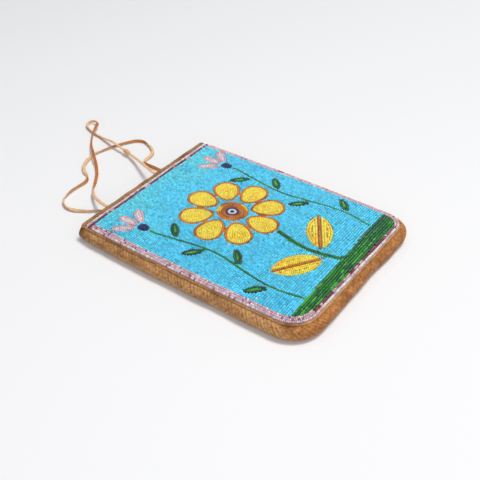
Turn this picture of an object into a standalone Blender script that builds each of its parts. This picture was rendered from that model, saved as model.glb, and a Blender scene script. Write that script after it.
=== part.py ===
# Flat beaded bag lying on its back: a corduroy tray open at the mouth, a crowned front panel
# covered with rows of beads, folded hems at the mouth and two free thong loops.
# X runs across the mouth, +Y points out of the mouth, +Z is up through the beaded front.
import bpy
import bmesh
import math
import numpy as np
from mathutils import Vector

# Driving dimensions in metres
panel_width = 0.1775        # beaded front panel, across the mouth
panel_length = 0.2340       # beaded front panel, from its bottom edge to the hem's fold
side_bow = 0.0018           # how far the long sides draw in at the mouth and at the bottom
corner_left = 0.024         # corner radius at the bottom left
corner_right = 0.017        # corner radius at the bottom right
wall_thickness = 0.0013     # corduroy
wall_reach = 0.0050         # how far the side wall bulges past the front panel's edge
mouth_reach = 0.0020        # the same bulge, where it dies out at the mouth
mouth_taper = 0.0200        # length over which the bulge dies out
rim_tuck = 0.0010           # how far the wall's rim is turned in under the front panel
seam_height = 0.0141        # top of the front panel's cloth along its edge
crown = 0.0027              # extra height of the cloth in the middle of the panel
canvas_thickness = 0.0010   # cloth under the beads
seat_gap = 0.0003           # between pieces that touch
row_pitch = 0.0023          # one row of beads
bead_height = 0.0019        # crest of a bead row above its seat
row_groove = 0.0006         # depth of the groove between two rows
rows_per_ridge = 4          # bead rows under one ridge of the straight fields
motif_rows_per_ridge = 2    # bead rows under one ridge of a motif
left_rows = 3               # bead rows in the left border
other_rows = 2              # bead rows in the right and bottom borders
hem_width = 0.0056          # folded hem at the mouth
hem_thickness = 0.0009
hem_inset = 0.0020          # from the panel's side to the front hem's end
back_hem_width = 0.0060
back_hem_height = 0.0012
back_hem_inset = 0.0050     # from the panel's side to the back hem's end
ground_height = 0.0110      # green strip above the bottom border, at the left
ground_rise = 0.0050        # how much higher it stands at the right
block_margin = 0.0040       # how far the blocks that are cut to shape run past the panel
block_depth = 0.0040        # and how far they reach below the seam

# Flower work on the front, metres. These are its sizes where it fits the panel as it is. On another
# panel its places spread out and its motifs grow or shrink, so that its buds keep these gaps.
bud_side_gap = 0.0008       # from a bud's outermost petal to the border beside it
bud_top_gap = 0.0105        # from the buds' tips to the rows at the mouth
rosette_x = 0.004
rosette_y = 0.018
rosette_petals = 8
centre_radius = 0.0062
ring_outer = 0.0146
petal_outer = 0.0490
petal_gap = 0.0011          # between two petals where they come closest
petal_swell = 0.34          # how much wider a petal is towards its outer end
motif_gap = 0.0006          # between two motifs
tip_draw = 0.7              # how fast a long motif's inner rows draw back from its tips
stem_width = 0.0046
main_stem_bend = 0.006
stem_foot_gap = 0.0012      # between a stem's foot and the ground strip
leaf_length = 0.0500
leaf_width = 0.0230
leaf_rib = 0.0024
leaf_rib_start = 0.0020     # between the leaf's foot and its rib
leaf_tip = 0.0020           # how far the rib runs past the leaf's two sides at each end
leaf_left_angle = 147.0     # degrees from +X, from the stem outwards
leaf_right_angle = 33.0
leaf_left_foot = 0.030      # height of the leaf's foot above the bottom edge of the panel
leaf_right_foot = 0.038
side_stem_gap_left = 0.0110     # between the rosette's petals and the side stems
side_stem_gap_right = 0.0070
side_stem_width = 0.0024
side_stem_bend = 0.0040
side_stem_waves = 1.25
side_stem_top = 0.0620      # height of the side stems' tops above the panel's middle
calyx_length = 0.0120
calyx_width = 0.0092
bud_petals = 3
bud_petal_length = 0.0225
bud_petal_gap = 0.0005      # between two petals of a bud where they come closest
bud_fan = 38.0              # degrees between two petals of a bud
bud_swell = 0.2
bud_foot = 0.0074           # where the bud's petals fan out from, above the stem's top
bud_gap = 0.0014            # from the calyx to the middle petal's near end, with its own gap
small_leaf_length = 0.0220
small_leaf_width = 0.0078
small_leaf_heights = (-0.068, -0.034, 0.002, 0.034)
small_leaf_angle = 44.0

# Thongs: flat buckskin strips, here as round tubes of the strip's width
thong_width = 0.0032
thong_spacing = 0.0066      # between two points along the tube
splice_length = 0.0090
splice_wall = 0.0007
splice_x = 0.0398
splice_y = 0.1800
front_thong_route = (
    (0.0163, 0.1198, 0.0136), (0.0166, 0.1240, 0.0134), (0.0232, 0.1385, 0.0108),
    (0.0315, 0.1562, 0.0072),
    (0.0372, 0.1700, 0.0048), (0.0403, 0.1815, 0.0044), (0.0420, 0.1915, 0.0056),
    (0.0441, 0.2015, 0.0060), (0.0468, 0.2125, 0.0042), (0.0492, 0.2240, 0.0022),
    (0.0516, 0.2375, 0.0018), (0.0542, 0.2475, 0.0018), (0.0588, 0.2557, 0.0020),
    (0.0658, 0.2570, 0.0027), (0.0682, 0.2508, 0.0038), (0.0628, 0.2440, 0.0050),
    (0.0550, 0.2395, 0.0055), (0.0470, 0.2350, 0.0048), (0.0392, 0.2295, 0.0036),
    (0.0290, 0.2205, 0.0036), (0.0222, 0.2125, 0.0050), (0.0170, 0.2060, 0.0060),
    (0.0110, 0.1983, 0.0050), (0.0035, 0.1888, 0.0026), (-0.0062, 0.1790, 0.0018),
    (-0.0180, 0.1700, 0.0018), (-0.0290, 0.1624, 0.0022), (-0.0374, 0.1530, 0.0042),
    (-0.0453, 0.1388, 0.0085), (-0.0516, 0.1240, 0.0131), (-0.0519, 0.1198, 0.0136),
)
back_thong_route = (
    (0.0365, 0.1199, 0.0018), (0.0365, 0.1240, 0.0018), (0.0368, 0.1310, 0.0018),
    (0.0370, 0.1400, 0.0018),
    (0.0370, 0.1490, 0.0018), (0.0390, 0.1548, 0.0018), (0.0445, 0.1573, 0.0018),
    (0.0515, 0.1578, 0.0018), (0.0588, 0.1610, 0.0018), (0.0655, 0.1697, 0.0018),
    (0.0688, 0.1808, 0.0018), (0.0655, 0.1900, 0.0018), (0.0562, 0.1962, 0.0018),
    (0.0471, 0.2006, 0.0018), (0.0370, 0.2042, 0.0018), (0.0273, 0.2066, 0.0018),
    (0.0174, 0.2072, 0.0018), (0.0075, 0.2055, 0.0018), (-0.0023, 0.2008, 0.0018),
    (-0.0098, 0.1930, 0.0018), (-0.0132, 0.1862, 0.0018), (-0.0175, 0.1808, 0.0018),
    (-0.0240, 0.1786, 0.0018), (-0.0320, 0.1788, 0.0018), (-0.0410, 0.1789, 0.0018),
    (-0.0500, 0.1770, 0.0018), (-0.0590, 0.1722, 0.0018), (-0.0640, 0.1629, 0.0018),
    (-0.0628, 0.1518, 0.0018), (-0.0575, 0.1425, 0.0018), (-0.0500, 0.1345, 0.0018),
    (-0.0450, 0.1240, 0.0018), (-0.0447, 0.1199, 0.0018),
)

# Places worked out from the sizes above
total_length = panel_length + wall_reach
mouth_y = total_length / 2
bottom_y = mouth_y - panel_length
half_width = panel_width / 2
rows_top_y = mouth_y - hem_width - seat_gap
field_top_y = rows_top_y - 2 * row_pitch - 2 * seat_gap
left_inset = left_rows * row_pitch
other_inset = other_rows * row_pitch
rim_height = seam_height - canvas_thickness - seat_gap
ground_left_y = bottom_y + other_inset + seat_gap + ground_height
block_floor = seam_height - block_depth
cutter_low = block_floor - block_depth
cutter_high = seam_height + crown + bead_height + block_depth
row_rise = seat_gap + bead_height
side_stem_left = rosette_x - petal_outer - side_stem_gap_left
side_stem_right = rosette_x + petal_outer + side_stem_gap_right
bud_reach = calyx_length + bud_gap - bud_foot
bud_rise = bud_reach + bud_petal_length
bud_spread = side_stem_bend + bud_rise * math.sin(math.radians(bud_fan * (bud_petals - 1) / 2))
room_left = half_width - side_bow - left_inset - bud_side_gap
room_right = half_width - side_bow - other_inset - bud_side_gap
fit_across = min(room_left / (bud_spread - side_stem_left), room_right / (bud_spread + side_stem_right))
fit_along = (field_top_y - bud_top_gap) / (side_stem_top + bud_foot + bud_rise)
fit = min(fit_across, fit_along)
rosette_at = (rosette_x * fit_across, rosette_y * fit_along)
ring_radius = ring_outer * fit
petal_near = ring_radius + 2 * motif_gap
petal_far = petal_outer * fit
rim_angle = math.radians(70)

# Facets
block_columns = 4
block_rows = 8
corner_steps = 7
side_steps = 6
wall_steps = 6
turned_steps = 12
petal_points = 11
small_points = 10
leaf_steps = 9
sleeve_points = 12
curve_steps = 12
side_stem_steps = 12
same_place = 1e-6

# Finishes
cloth_roughness = 0.9
canvas_roughness = 0.8
bead_roughness = 0.3
buckskin_roughness = 0.7
corduroy_brown = (0.46, 0.25, 0.11)
hem_brown = (0.40, 0.21, 0.09)
canvas_cream = (0.70, 0.62, 0.48)
sky_blue = (0.05, 0.50, 0.80)
ground_green = (0.01, 0.19, 0.02)
leaf_green = (0.005, 0.10, 0.045)
yellow = (0.87, 0.57, 0.03)
orange_brown = (0.58, 0.17, 0.01)
navy = (0.01, 0.02, 0.13)
pink = (0.68, 0.38, 0.42)
blush_white = (0.80, 0.70, 0.74)
maroon = (0.22, 0.03, 0.08)
lilac_white = (0.62, 0.50, 0.62)
buckskin = (0.75, 0.44, 0.19)


def clear_scene():
    for item in list(bpy.data.objects):
        bpy.data.objects.remove(item, do_unlink=True)


def make_collection(name):
    made = bpy.data.collections.new(name)
    bpy.context.scene.collection.children.link(made)
    return made


def make_material(name, colour, roughness):
    made = bpy.data.materials.new(name)
    made.use_nodes = True
    shader = made.node_tree.nodes["Principled BSDF"]
    shader.inputs["Base Color"].default_value = (*colour, 1.0)
    shader.inputs["Roughness"].default_value = roughness
    shader.inputs["Metallic"].default_value = 0.0
    return made


def place(name, mesh, colour, roughness):
    item = bpy.data.objects.new(name, mesh)
    parts.objects.link(item)
    mesh.materials.clear()
    mesh.materials.append(make_material(name, colour, roughness))
    return item


def place_cutter(name, mesh):
    item = bpy.data.objects.new(name, mesh)
    cutters.objects.link(item)
    item.hide_render = True
    item.display_type = "WIRE"
    return item


def boolean(item, cutter, operation):
    step = item.modifiers.new(f"{operation.lower()} {cutter.name}", "BOOLEAN")
    step.operation = operation
    step.solver = "EXACT"
    step.object = cutter


def finish_mesh(name, grid):
    bmesh.ops.recalc_face_normals(grid, faces=grid.faces)
    mesh = bpy.data.meshes.new(name)
    grid.to_mesh(mesh)
    grid.free()
    return mesh


def canvas_top(x, y):
    # Height of the cloth under the beads: level along the edges, arched in the middle
    across = np.clip(1 - (x / half_width) ** 2, 0, 1)
    along = np.clip(1 - (2 * y / total_length) ** 2, 0, 1)
    return seam_height + crown * across * along


def bow_at(y):
    return side_bow * (2 * y / total_length) ** 2


def edge_path(inset_left, inset_right, inset_bottom, top_y):
    # Points down the left side, round the bottom and up the right side, with inward normals
    left_y = bottom_y + corner_left
    right_y = bottom_y + corner_right
    left_x = -(half_width - bow_at(left_y)) + corner_left
    right_x = half_width - bow_at(right_y) - corner_right
    points = []
    for y in np.linspace(top_y, left_y, side_steps + 1)[:-1]:
        points.append((-(half_width - bow_at(y)) + inset_left, y, 1.0, 0.0))
    for turn in np.linspace(math.pi, 1.5 * math.pi, corner_steps + 1):
        x = left_x + (corner_left - inset_left) * math.cos(turn)
        y = left_y + (corner_left - inset_bottom) * math.sin(turn)
        points.append((x, y, -math.cos(turn), -math.sin(turn)))
    for x in np.linspace(left_x, right_x, side_steps + 1)[1:-1]:
        points.append((x, bottom_y + inset_bottom, 0.0, 1.0))
    for turn in np.linspace(1.5 * math.pi, 2 * math.pi, corner_steps + 1):
        x = right_x + (corner_right - inset_right) * math.cos(turn)
        y = right_y + (corner_right - inset_bottom) * math.sin(turn)
        points.append((x, y, -math.cos(turn), -math.sin(turn)))
    for y in np.linspace(right_y, top_y, side_steps + 1)[1:]:
        points.append((half_width - bow_at(y) - inset_right, y, -1.0, 0.0))
    return points


def crowned_block(name, ys, lift):
    # A block with a flat floor whose top follows the cloth at the given heights above it
    xs = np.linspace(-half_width - block_margin, half_width + block_margin, block_columns + 1)
    bpy.ops.mesh.primitive_grid_add(x_subdivisions=block_columns, y_subdivisions=len(ys) - 1, size=1)
    item = bpy.context.object
    grid = bmesh.new()
    grid.from_mesh(item.data)
    bpy.data.objects.remove(item, do_unlink=True)
    for vert in grid.verts:
        column = round((vert.co.x + 0.5) * block_columns)
        row = round((vert.co.y + 0.5) * (len(ys) - 1))
        x, y = float(xs[column]), float(ys[row])
        vert.co = (x, y, float(canvas_top(x, y)) + float(lift[row]))
    rim = [edge for edge in grid.edges if edge.is_boundary]
    skirt = bmesh.ops.extrude_edge_only(grid, edges=rim)["geom"]
    lowered = [part for part in skirt if isinstance(part, bmesh.types.BMVert)]
    for vert in lowered:
        vert.co.z = block_floor
    low_edges = [part for part in skirt if isinstance(part, bmesh.types.BMEdge)]
    bmesh.ops.contextual_create(grid, geom=[edge for edge in low_edges if edge.is_boundary])
    bmesh.ops.triangulate(grid, faces=grid.faces)
    return finish_mesh(name, grid)


def row_block(name):
    # The same block with ridges for the straight rows of beads, counted from the mouth
    ridge = row_pitch * rows_per_ridge
    count = int((field_top_y - bottom_y) / ridge) + 2
    ys = field_top_y + seat_gap / 2 + ridge - np.arange(2 * count + 1) * ridge / 2
    crest = np.arange(2 * count + 1) % 2
    lift = row_rise - row_groove * (1 - crest)
    return crowned_block(name, ys[::-1], lift[::-1])


def smooth_block(name, lift):
    ys = np.linspace(bottom_y - block_margin, mouth_y + block_margin, block_rows + 1)
    return crowned_block(name, ys, np.full(len(ys), lift))


def prism(name, outline):
    # An upright cutter on a closed outline of x, y points
    grid = bmesh.new()
    verts = [grid.verts.new((x, y, cutter_low)) for x, y in outline]
    face = grid.faces.new(verts)
    risen = bmesh.ops.extrude_face_region(grid, geom=[face])["geom"]
    moved = [part for part in risen if isinstance(part, bmesh.types.BMVert)]
    bmesh.ops.translate(grid, verts=moved, vec=(0, 0, cutter_high - cutter_low))
    return finish_mesh(name, grid)


def ring_loft(name, rings, capped):
    # Joins rings with the same number of points, and closes the first and last when capped
    grid = bmesh.new()
    made = [[grid.verts.new(point) for point in ring] for ring in rings]
    pairs = list(zip(made, made[1:]))
    if not capped:
        pairs.append((made[-1], made[0]))
    for low, high in pairs:
        for i in range(len(low)):
            j = (i + 1) % len(low)
            grid.faces.new((low[i], low[j], high[j], high[i]))
    if capped:
        grid.faces.new(made[0][::-1])
        grid.faces.new(made[-1])
    return finish_mesh(name, grid)


def on_cloth(x, y, lift):
    return (x, y, float(canvas_top(x, y)) + lift)


def bead_strip(name, path, rows, colour):
    # Rows of beads side by side along a path of points with inward normals
    rings = []
    for x, y, nx, ny in path:
        ring = []
        for half in range(2 * rows + 1):
            reach = half * row_pitch / 2
            lift = row_rise - (row_groove if half % 2 == 0 else 0)
            ring.append(on_cloth(x + nx * reach, y + ny * reach, lift))
        width = rows * row_pitch
        ring.append(on_cloth(x + nx * width, y + ny * width, seat_gap))
        ring.append(on_cloth(x, y, seat_gap))
        rings.append(ring)
    return place(name, ring_loft(name, rings, True), colour, bead_roughness)


def turned_outline(unit, half_length, half_breadth, centre, angle):
    # A unit outline stretched to size, turned about its middle and moved to its place
    c, s = math.cos(angle), math.sin(angle)
    points = []
    for u, v in unit:
        along, across = u * half_length, v * half_breadth
        points.append((centre[0] + along * c - across * s, centre[1] + along * s + across * c))
    return points


def egg(count, swell):
    turns = [2 * math.pi * i / count for i in range(count)]
    return [(math.cos(t), math.sin(t) * (1 + swell * math.cos(t))) for t in turns]


def almond(count):
    turns = [2 * math.pi * (i + 0.5) / count for i in range(count)]
    return [(math.cos(t), math.copysign(abs(math.sin(t)) ** 1.5, math.sin(t))) for t in turns]


def half_leaf(count):
    # One side of a leaf: a straight edge along the rib and an arched outer edge
    return [(-math.cos(math.pi * i / count), 2 * math.sin(math.pi * i / count) ** 1.5 - 1)
            for i in range(count + 1)]


def contour_motif(name, unit, half_length, half_breadth, centre, angle, colour):
    # A flat motif whose bead rows follow its outline inwards, in ridges
    rings = [(0.0, seat_gap), (0.0, row_rise - row_groove)]
    step = row_pitch * motif_rows_per_ridge / 2
    for half in range(1, math.ceil(half_breadth / step)):
        rings.append((half * step, row_rise - (row_groove if half % 2 == 0 else 0)))
    draw = max(1.0, tip_draw * half_length / half_breadth)
    loops = []
    for inset, lift in rings:
        sized = turned_outline(unit, half_length - inset * draw, half_breadth - inset, centre, angle)
        loops.append([on_cloth(x, y, lift) for x, y in sized])
    cut = turned_outline(unit, half_length + seat_gap, half_breadth + seat_gap, centre, angle)
    motif_cutters.append(place_cutter(f"cut_{name}", prism(f"cut_{name}", cut)))
    return place(name, ring_loft(name, loops, True), colour, 0.3)


def bead_band(name, line, width, rows, colour):
    # A stem: bead rows laid along a gently curved line
    line = np.array(line)
    runs = np.gradient(line, axis=0)
    runs /= np.linalg.norm(runs, axis=1)[:, None]
    sides = np.stack([-runs[:, 1], runs[:, 0]], axis=1)
    rings = []
    for point, side in zip(line, sides):
        ring = []
        for half in range(2 * rows + 1):
            reach = (half / (2 * rows) - 0.5) * width
            lift = row_rise - (row_groove if half % 2 == 0 else 0)
            ring.append(on_cloth(*(point + side * reach), lift))
        ring.append(on_cloth(*(point + side * width / 2), seat_gap))
        ring.append(on_cloth(*(point - side * width / 2), seat_gap))
        rings.append(ring)
    ends = line.copy()
    ends[0] -= runs[0] * seat_gap
    ends[-1] += runs[-1] * seat_gap
    reach = width / 2 + seat_gap
    cut = [*(ends + sides * reach), *(ends - sides * reach)[::-1]]
    motif_cutters.append(place_cutter(f"cut_{name}", prism(f"cut_{name}", cut)))
    return place(name, ring_loft(name, rings, True), colour, bead_roughness)


def ground_top(x):
    return ground_left_y + ground_rise * (x + half_width) / panel_width


def field_outline():
    # Inside of all borders, with a step where the left border's extra row ends
    gap = seat_gap
    left_x = -(half_width - bow_at(bottom_y + corner_left)) + corner_left
    path = edge_path(left_inset + gap, other_inset + gap, other_inset + gap, field_top_y)
    outline = []
    for x, y, nx, ny in path:
        in_left_corner = x < left_x + gap and y < bottom_y + corner_left
        if in_left_corner:
            reach = corner_left - left_inset - gap
            turn = math.atan2(-ny, -nx)
            x = left_x + reach * math.cos(turn)
            y = bottom_y + corner_left + reach * math.sin(turn)
        outline.append((float(x), float(y)))
        if in_left_corner and abs(nx) < same_place:
            outline[-1] = (left_x + gap, y)
            outline.append((left_x + gap, bottom_y + other_inset + gap))
    return outline


def make_pouch_back():
    # Corduroy back and walls: the wall's section is swept round three sides, the floor is flat
    rings = []
    turns = np.linspace(rim_angle, -math.pi / 2, wall_steps + 1)
    half_rise = rim_height / (1 + math.sin(rim_angle))
    for x, y, nx, ny in edge_path(0, 0, 0, mouth_y):
        near = min(max((y - mouth_y + mouth_taper) / mouth_taper, 0.0), 1.0)
        near = near * near * (3 - 2 * near)
        reach = wall_reach + (mouth_reach - wall_reach) * near
        ring = []
        for turn in turns:
            swing = (math.cos(turn) - math.cos(rim_angle)) / (1 - math.cos(rim_angle))
            out = -rim_tuck + (reach + rim_tuck) * swing
            ring.append((x - nx * out, y - ny * out, half_rise * (1 + math.sin(turn))))
        rings.append(ring)
    grid = bmesh.new()
    made = [[grid.verts.new(point) for point in ring] for ring in rings]
    for low, high in zip(made, made[1:]):
        for i in range(wall_steps):
            grid.faces.new((low[i], low[i + 1], high[i + 1], high[i]))
    grid.faces.new([ring[-1] for ring in made])
    bmesh.ops.recalc_face_normals(grid, faces=grid.faces)
    floor = min(grid.faces, key=lambda face: face.calc_center_median().z)
    if floor.normal.z > 0:
        bmesh.ops.reverse_faces(grid, faces=grid.faces)
    mesh = bpy.data.meshes.new("pouch_back")
    grid.to_mesh(mesh)
    grid.free()
    item = place("pouch_back", mesh, corduroy_brown, cloth_roughness)
    wall = item.modifiers.new("wall", "SOLIDIFY")
    wall.thickness = wall_thickness
    wall.offset = -1
    wall.use_even_offset = True
    return item


def make_front_canvas():
    item = place("front_canvas", smooth_block("front_canvas", 0.0), canvas_cream, canvas_roughness)
    inner_fold = mouth_y - hem_thickness - seat_gap
    outline = [(x, y) for x, y, _, _ in edge_path(0, 0, 0, inner_fold)]
    boolean(item, place_cutter("cut_panel", prism("cut_panel", outline)), "INTERSECT")
    under = place_cutter("cut_canvas_under", smooth_block("cut_canvas_under", -canvas_thickness))
    boolean(item, under, "DIFFERENCE")
    return item


def make_front_hem():
    # A strip folded over the cloth's edge at the mouth: an open U section along X, then a wall
    grip = canvas_thickness / 2 + seat_gap
    outer = grip + hem_thickness
    section = [(-hem_width, outer)]
    for turn in np.linspace(math.pi / 2, -math.pi / 2, 7):
        section.append((-outer + outer * math.cos(turn), outer * math.sin(turn)))
    section.append((-hem_width, -outer))
    half_hem = half_width - bow_at(mouth_y) - hem_inset
    grid = bmesh.new()
    rows = []
    for x in np.linspace(-half_hem, half_hem, block_columns + 1):
        middle = float(canvas_top(x, mouth_y - hem_width / 2)) - canvas_thickness / 2
        rows.append([grid.verts.new((x, mouth_y + dy, middle + dz)) for dy, dz in section])
    for low, high in zip(rows, rows[1:]):
        for i in range(len(section) - 1):
            grid.faces.new((low[i], high[i], high[i + 1], low[i + 1]))
    mesh = bpy.data.meshes.new("front_hem")
    grid.normal_update()
    top = max(grid.faces, key=lambda face: face.calc_center_median().z)
    if top.normal.z < 0:
        bmesh.ops.reverse_faces(grid, faces=grid.faces)
    grid.to_mesh(mesh)
    grid.free()
    item = place("front_hem", mesh, hem_brown, cloth_roughness)
    wall = item.modifiers.new("wall", "SOLIDIFY")
    wall.thickness = hem_thickness
    wall.offset = -1
    return item


def make_back_hem():
    # The back's own edge turned in: a flat strip lying on the floor at the mouth
    half_hem = half_width - bow_at(mouth_y) - back_hem_inset
    bpy.ops.mesh.primitive_cube_add(size=1)
    cube = bpy.context.object
    mesh = cube.data
    bpy.data.objects.remove(cube, do_unlink=True)
    for vert in mesh.vertices:
        vert.co.x *= 2 * half_hem
        vert.co.y = mouth_y - back_hem_width * (0.5 - vert.co.y)
        vert.co.z = wall_thickness + seat_gap + back_hem_height * (0.5 + vert.co.z)
    item = place("back_hem", mesh, hem_brown, cloth_roughness)
    edge = item.modifiers.new("edge", "BEVEL")
    edge.width = back_hem_height / 3
    edge.segments = 2
    return item


def make_borders():
    left_x = -(half_width - bow_at(bottom_y + corner_left)) + corner_left
    right_x = half_width - bow_at(bottom_y + corner_right) - corner_right
    path = edge_path(0, 0, 0, field_top_y)
    left = [step for step in path if step[0] < left_x + same_place]
    right = [step for step in path if step[0] > right_x - same_place]
    middle = [step for step in path if left_x + same_place < step[0] < right_x - same_place]
    first = (left_x + seat_gap, bottom_y, 0.0, 1.0)
    last = (right_x - seat_gap, bottom_y, 0.0, 1.0)
    middle = [first, *middle, last]
    bead_strip("border_left", left, left_rows, lilac_white)
    bead_strip("border_bottom", middle, other_rows, pink)
    bead_strip("border_right", right, other_rows, pink)


def make_mouth_rows():
    half_row = half_width - bow_at(mouth_y)
    xs = np.linspace(-half_row, half_row, block_columns + 1)
    second_y = rows_top_y - row_pitch - seat_gap
    bead_strip("mouth_row_pale", [(x, rows_top_y, 0.0, -1.0) for x in xs], 1, blush_white)
    bead_strip("mouth_row_maroon", [(x, second_y, 0.0, -1.0) for x in xs], 1, maroon)


def petal_half_breadth(middle, half_length, fan, swell, gap):
    # Half the widest egg that leaves half the gap to the line midway between two petals of a fan
    share = fan / 2
    turns = np.linspace(0.1, math.pi - 0.1, 100)
    room = (middle + half_length * np.cos(turns)) * math.tan(share) - gap / 2 / math.cos(share)
    return float(np.min(room / (np.sin(turns) * (1 + swell * np.cos(turns)))))


def make_rosette():
    middle = (petal_near + petal_far) / 2
    half_length = (petal_far - petal_near) / 2
    fan = 2 * math.pi / rosette_petals
    half_breadth = petal_half_breadth(middle, half_length, fan, petal_swell, petal_gap)
    for i in range(rosette_petals):
        turn = fan * i - math.pi / 2
        seat = (rosette_at[0] + middle * math.cos(turn), rosette_at[1] + middle * math.sin(turn))
        contour_motif(f"rosette_petal_{i + 1}", egg(petal_points, petal_swell), half_length, half_breadth,
                      seat, turn, yellow)
    core = centre_radius * fit
    turned_field("rosette_centre", 0.0, core, rosette_at, navy)
    turned_field("rosette_ring", core + seat_gap, ring_radius, rosette_at, orange_brown)
    reach = ring_radius + seat_gap
    around = [(rosette_at[0] + reach * math.cos(t), rosette_at[1] + reach * math.sin(t))
              for t in np.linspace(0, 2 * math.pi, turned_steps, endpoint=False)]
    motif_cutters.append(place_cutter("cut_rosette_ring", prism("cut_rosette_ring", around)))


def turned_field(name, inner, outer, centre, colour):
    # A disc or ring of round bead rows, turned about its own middle and laid on the cloth
    rows = max(round((outer - inner) / row_pitch), 1)
    profile = []
    for half in range(2 * rows + 1):
        lift = bead_height - (row_groove if half % 2 == 0 else 0)
        profile.append((outer + (inner - outer) * half / (2 * rows), seat_gap + lift))
    profile = [(outer, seat_gap), *profile, (inner, seat_gap)]
    if inner > 0:
        profile.append((outer, seat_gap))
    else:
        profile = [profile[-1], *profile[:-1]]
    mesh = bpy.data.meshes.new(name)
    edges = [(i, i + 1) for i in range(len(profile) - 1)]
    mesh.from_pydata([(r, 0.0, z) for r, z in profile], edges, [])
    seed = bpy.data.objects.new(f"{name}_profile", mesh)
    cutters.objects.link(seed)
    turn = seed.modifiers.new("turn", "SCREW")
    turn.steps = turned_steps
    turn.render_steps = turned_steps
    turn.use_merge_vertices = True
    turn.merge_threshold = 0.00001
    bpy.context.view_layer.update()
    solid = bpy.data.meshes.new_from_object(seed.evaluated_get(bpy.context.evaluated_depsgraph_get()))
    bpy.data.objects.remove(seed, do_unlink=True)
    grid = bmesh.new()
    grid.from_mesh(solid)
    bmesh.ops.remove_doubles(grid, verts=grid.verts, dist=0.00001)
    for vert in grid.verts:
        x, y = vert.co.x + centre[0], vert.co.y + centre[1]
        vert.co = on_cloth(x, y, vert.co.z)
    return place(name, finish_mesh(name, grid), colour, bead_roughness)


def main_stem_x(y, low, high):
    share = (y - low) / (high - low)
    return rosette_at[0] - main_stem_bend * math.sin(math.pi * share)


def make_stem_and_leaves():
    low = ground_top(rosette_at[0]) + stem_foot_gap
    high = rosette_at[1] - petal_far - motif_gap
    length = leaf_length * fit
    breadth = (leaf_width * fit - leaf_rib) / 4
    line = [(main_stem_x(y, low, high), y) for y in np.linspace(low, high, 9)]
    bead_band("main_stem", line, stem_width, 2, leaf_green)
    for side, angle, foot in (("left", leaf_left_angle, leaf_left_foot),
                              ("right", leaf_right_angle, leaf_right_foot)):
        turn = math.radians(angle)
        foot_y = bottom_y + foot * fit_along
        way = 1 if side == "right" else -1
        foot_x = main_stem_x(foot_y, low, high) + way * (stem_width / 2 + motif_gap + seat_gap)
        run = (math.cos(turn), math.sin(turn))
        lift = (-run[1] * way, run[0] * way)
        rib_from = (foot_x + run[0] * leaf_rib_start, foot_y + run[1] * leaf_rib_start)
        rib = [(rib_from[0] + run[0] * s, rib_from[1] + run[1] * s)
               for s in np.linspace(0, length, 7)]
        bead_band(f"leaf_{side}_rib", rib, leaf_rib, 1, orange_brown)
        shift = leaf_rib / 2 + seat_gap * 1.5 + breadth
        middle = (rib_from[0] + run[0] * length / 2, rib_from[1] + run[1] * length / 2)
        for half, sign in (("upper", 1), ("lower", -1)):
            seat = (middle[0] + lift[0] * shift * sign, middle[1] + lift[1] * shift * sign)
            unit = half_leaf(leaf_steps)
            if sign * way < 0:
                unit = [(u, -v) for u, v in unit][::-1]
            contour_motif(f"leaf_{side}_{half}", unit, length / 2 - leaf_tip, breadth, seat, turn, yellow)


def make_bud(side, stem_x):
    # A side stem with its small leaves, its calyx and the petals of its bud
    way = 1 if side == "right" else -1
    low = ground_top(stem_x) + stem_foot_gap
    top = side_stem_top * fit_along

    def stem_at(y):
        share = (y - low) / (top - low)
        return stem_x + way * side_stem_bend * fit * math.sin(2 * math.pi * side_stem_waves * share)

    line = [(stem_at(y), y) for y in np.linspace(low, top, side_stem_steps)]
    bead_band(f"side_stem_{side}", line, side_stem_width, 1, leaf_green)
    calyx_y = top + motif_gap + calyx_length * fit / 2
    contour_motif(f"calyx_{side}", egg(small_points, petal_swell), calyx_length * fit / 2,
                  calyx_width * fit / 2, (stem_at(top), calyx_y), math.pi / 2, navy)
    foot_y = top + bud_foot * fit
    throw = (bud_petal_length / 2 + bud_reach) * fit
    fan = math.radians(bud_fan)
    half_length = bud_petal_length * fit / 2
    half_breadth = petal_half_breadth(throw, half_length, fan, bud_swell, bud_petal_gap)
    for i in range(bud_petals):
        turn = math.pi / 2 + fan * (i - (bud_petals - 1) / 2)
        seat = (stem_at(top) + throw * math.cos(turn), foot_y + throw * math.sin(turn))
        contour_motif(f"bud_{side}_petal_{i + 1}", egg(small_points, bud_swell), half_length,
                      half_breadth, seat, turn, blush_white)
    for i, height in enumerate(small_leaf_heights):
        y = height * fit_along
        out = -way if i % 2 else way
        turn = math.radians(small_leaf_angle if out > 0 else 180 - small_leaf_angle)
        # The leaf's foot keeps one clearance from the stem, however the stem leans there
        lean = math.atan2(2 * row_pitch, stem_at(y + row_pitch) - stem_at(y - row_pitch))
        clear = side_stem_width / 2 + motif_gap + seat_gap
        throw = small_leaf_length * fit / 2 + clear / abs(math.sin(lean - turn))
        seat = (stem_at(y) + throw * math.cos(turn), y + throw * math.sin(turn))
        contour_motif(f"small_leaf_{side}_{i + 1}", almond(small_points), small_leaf_length * fit / 2,
                      small_leaf_width * fit / 2, seat, turn, leaf_green)


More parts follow.
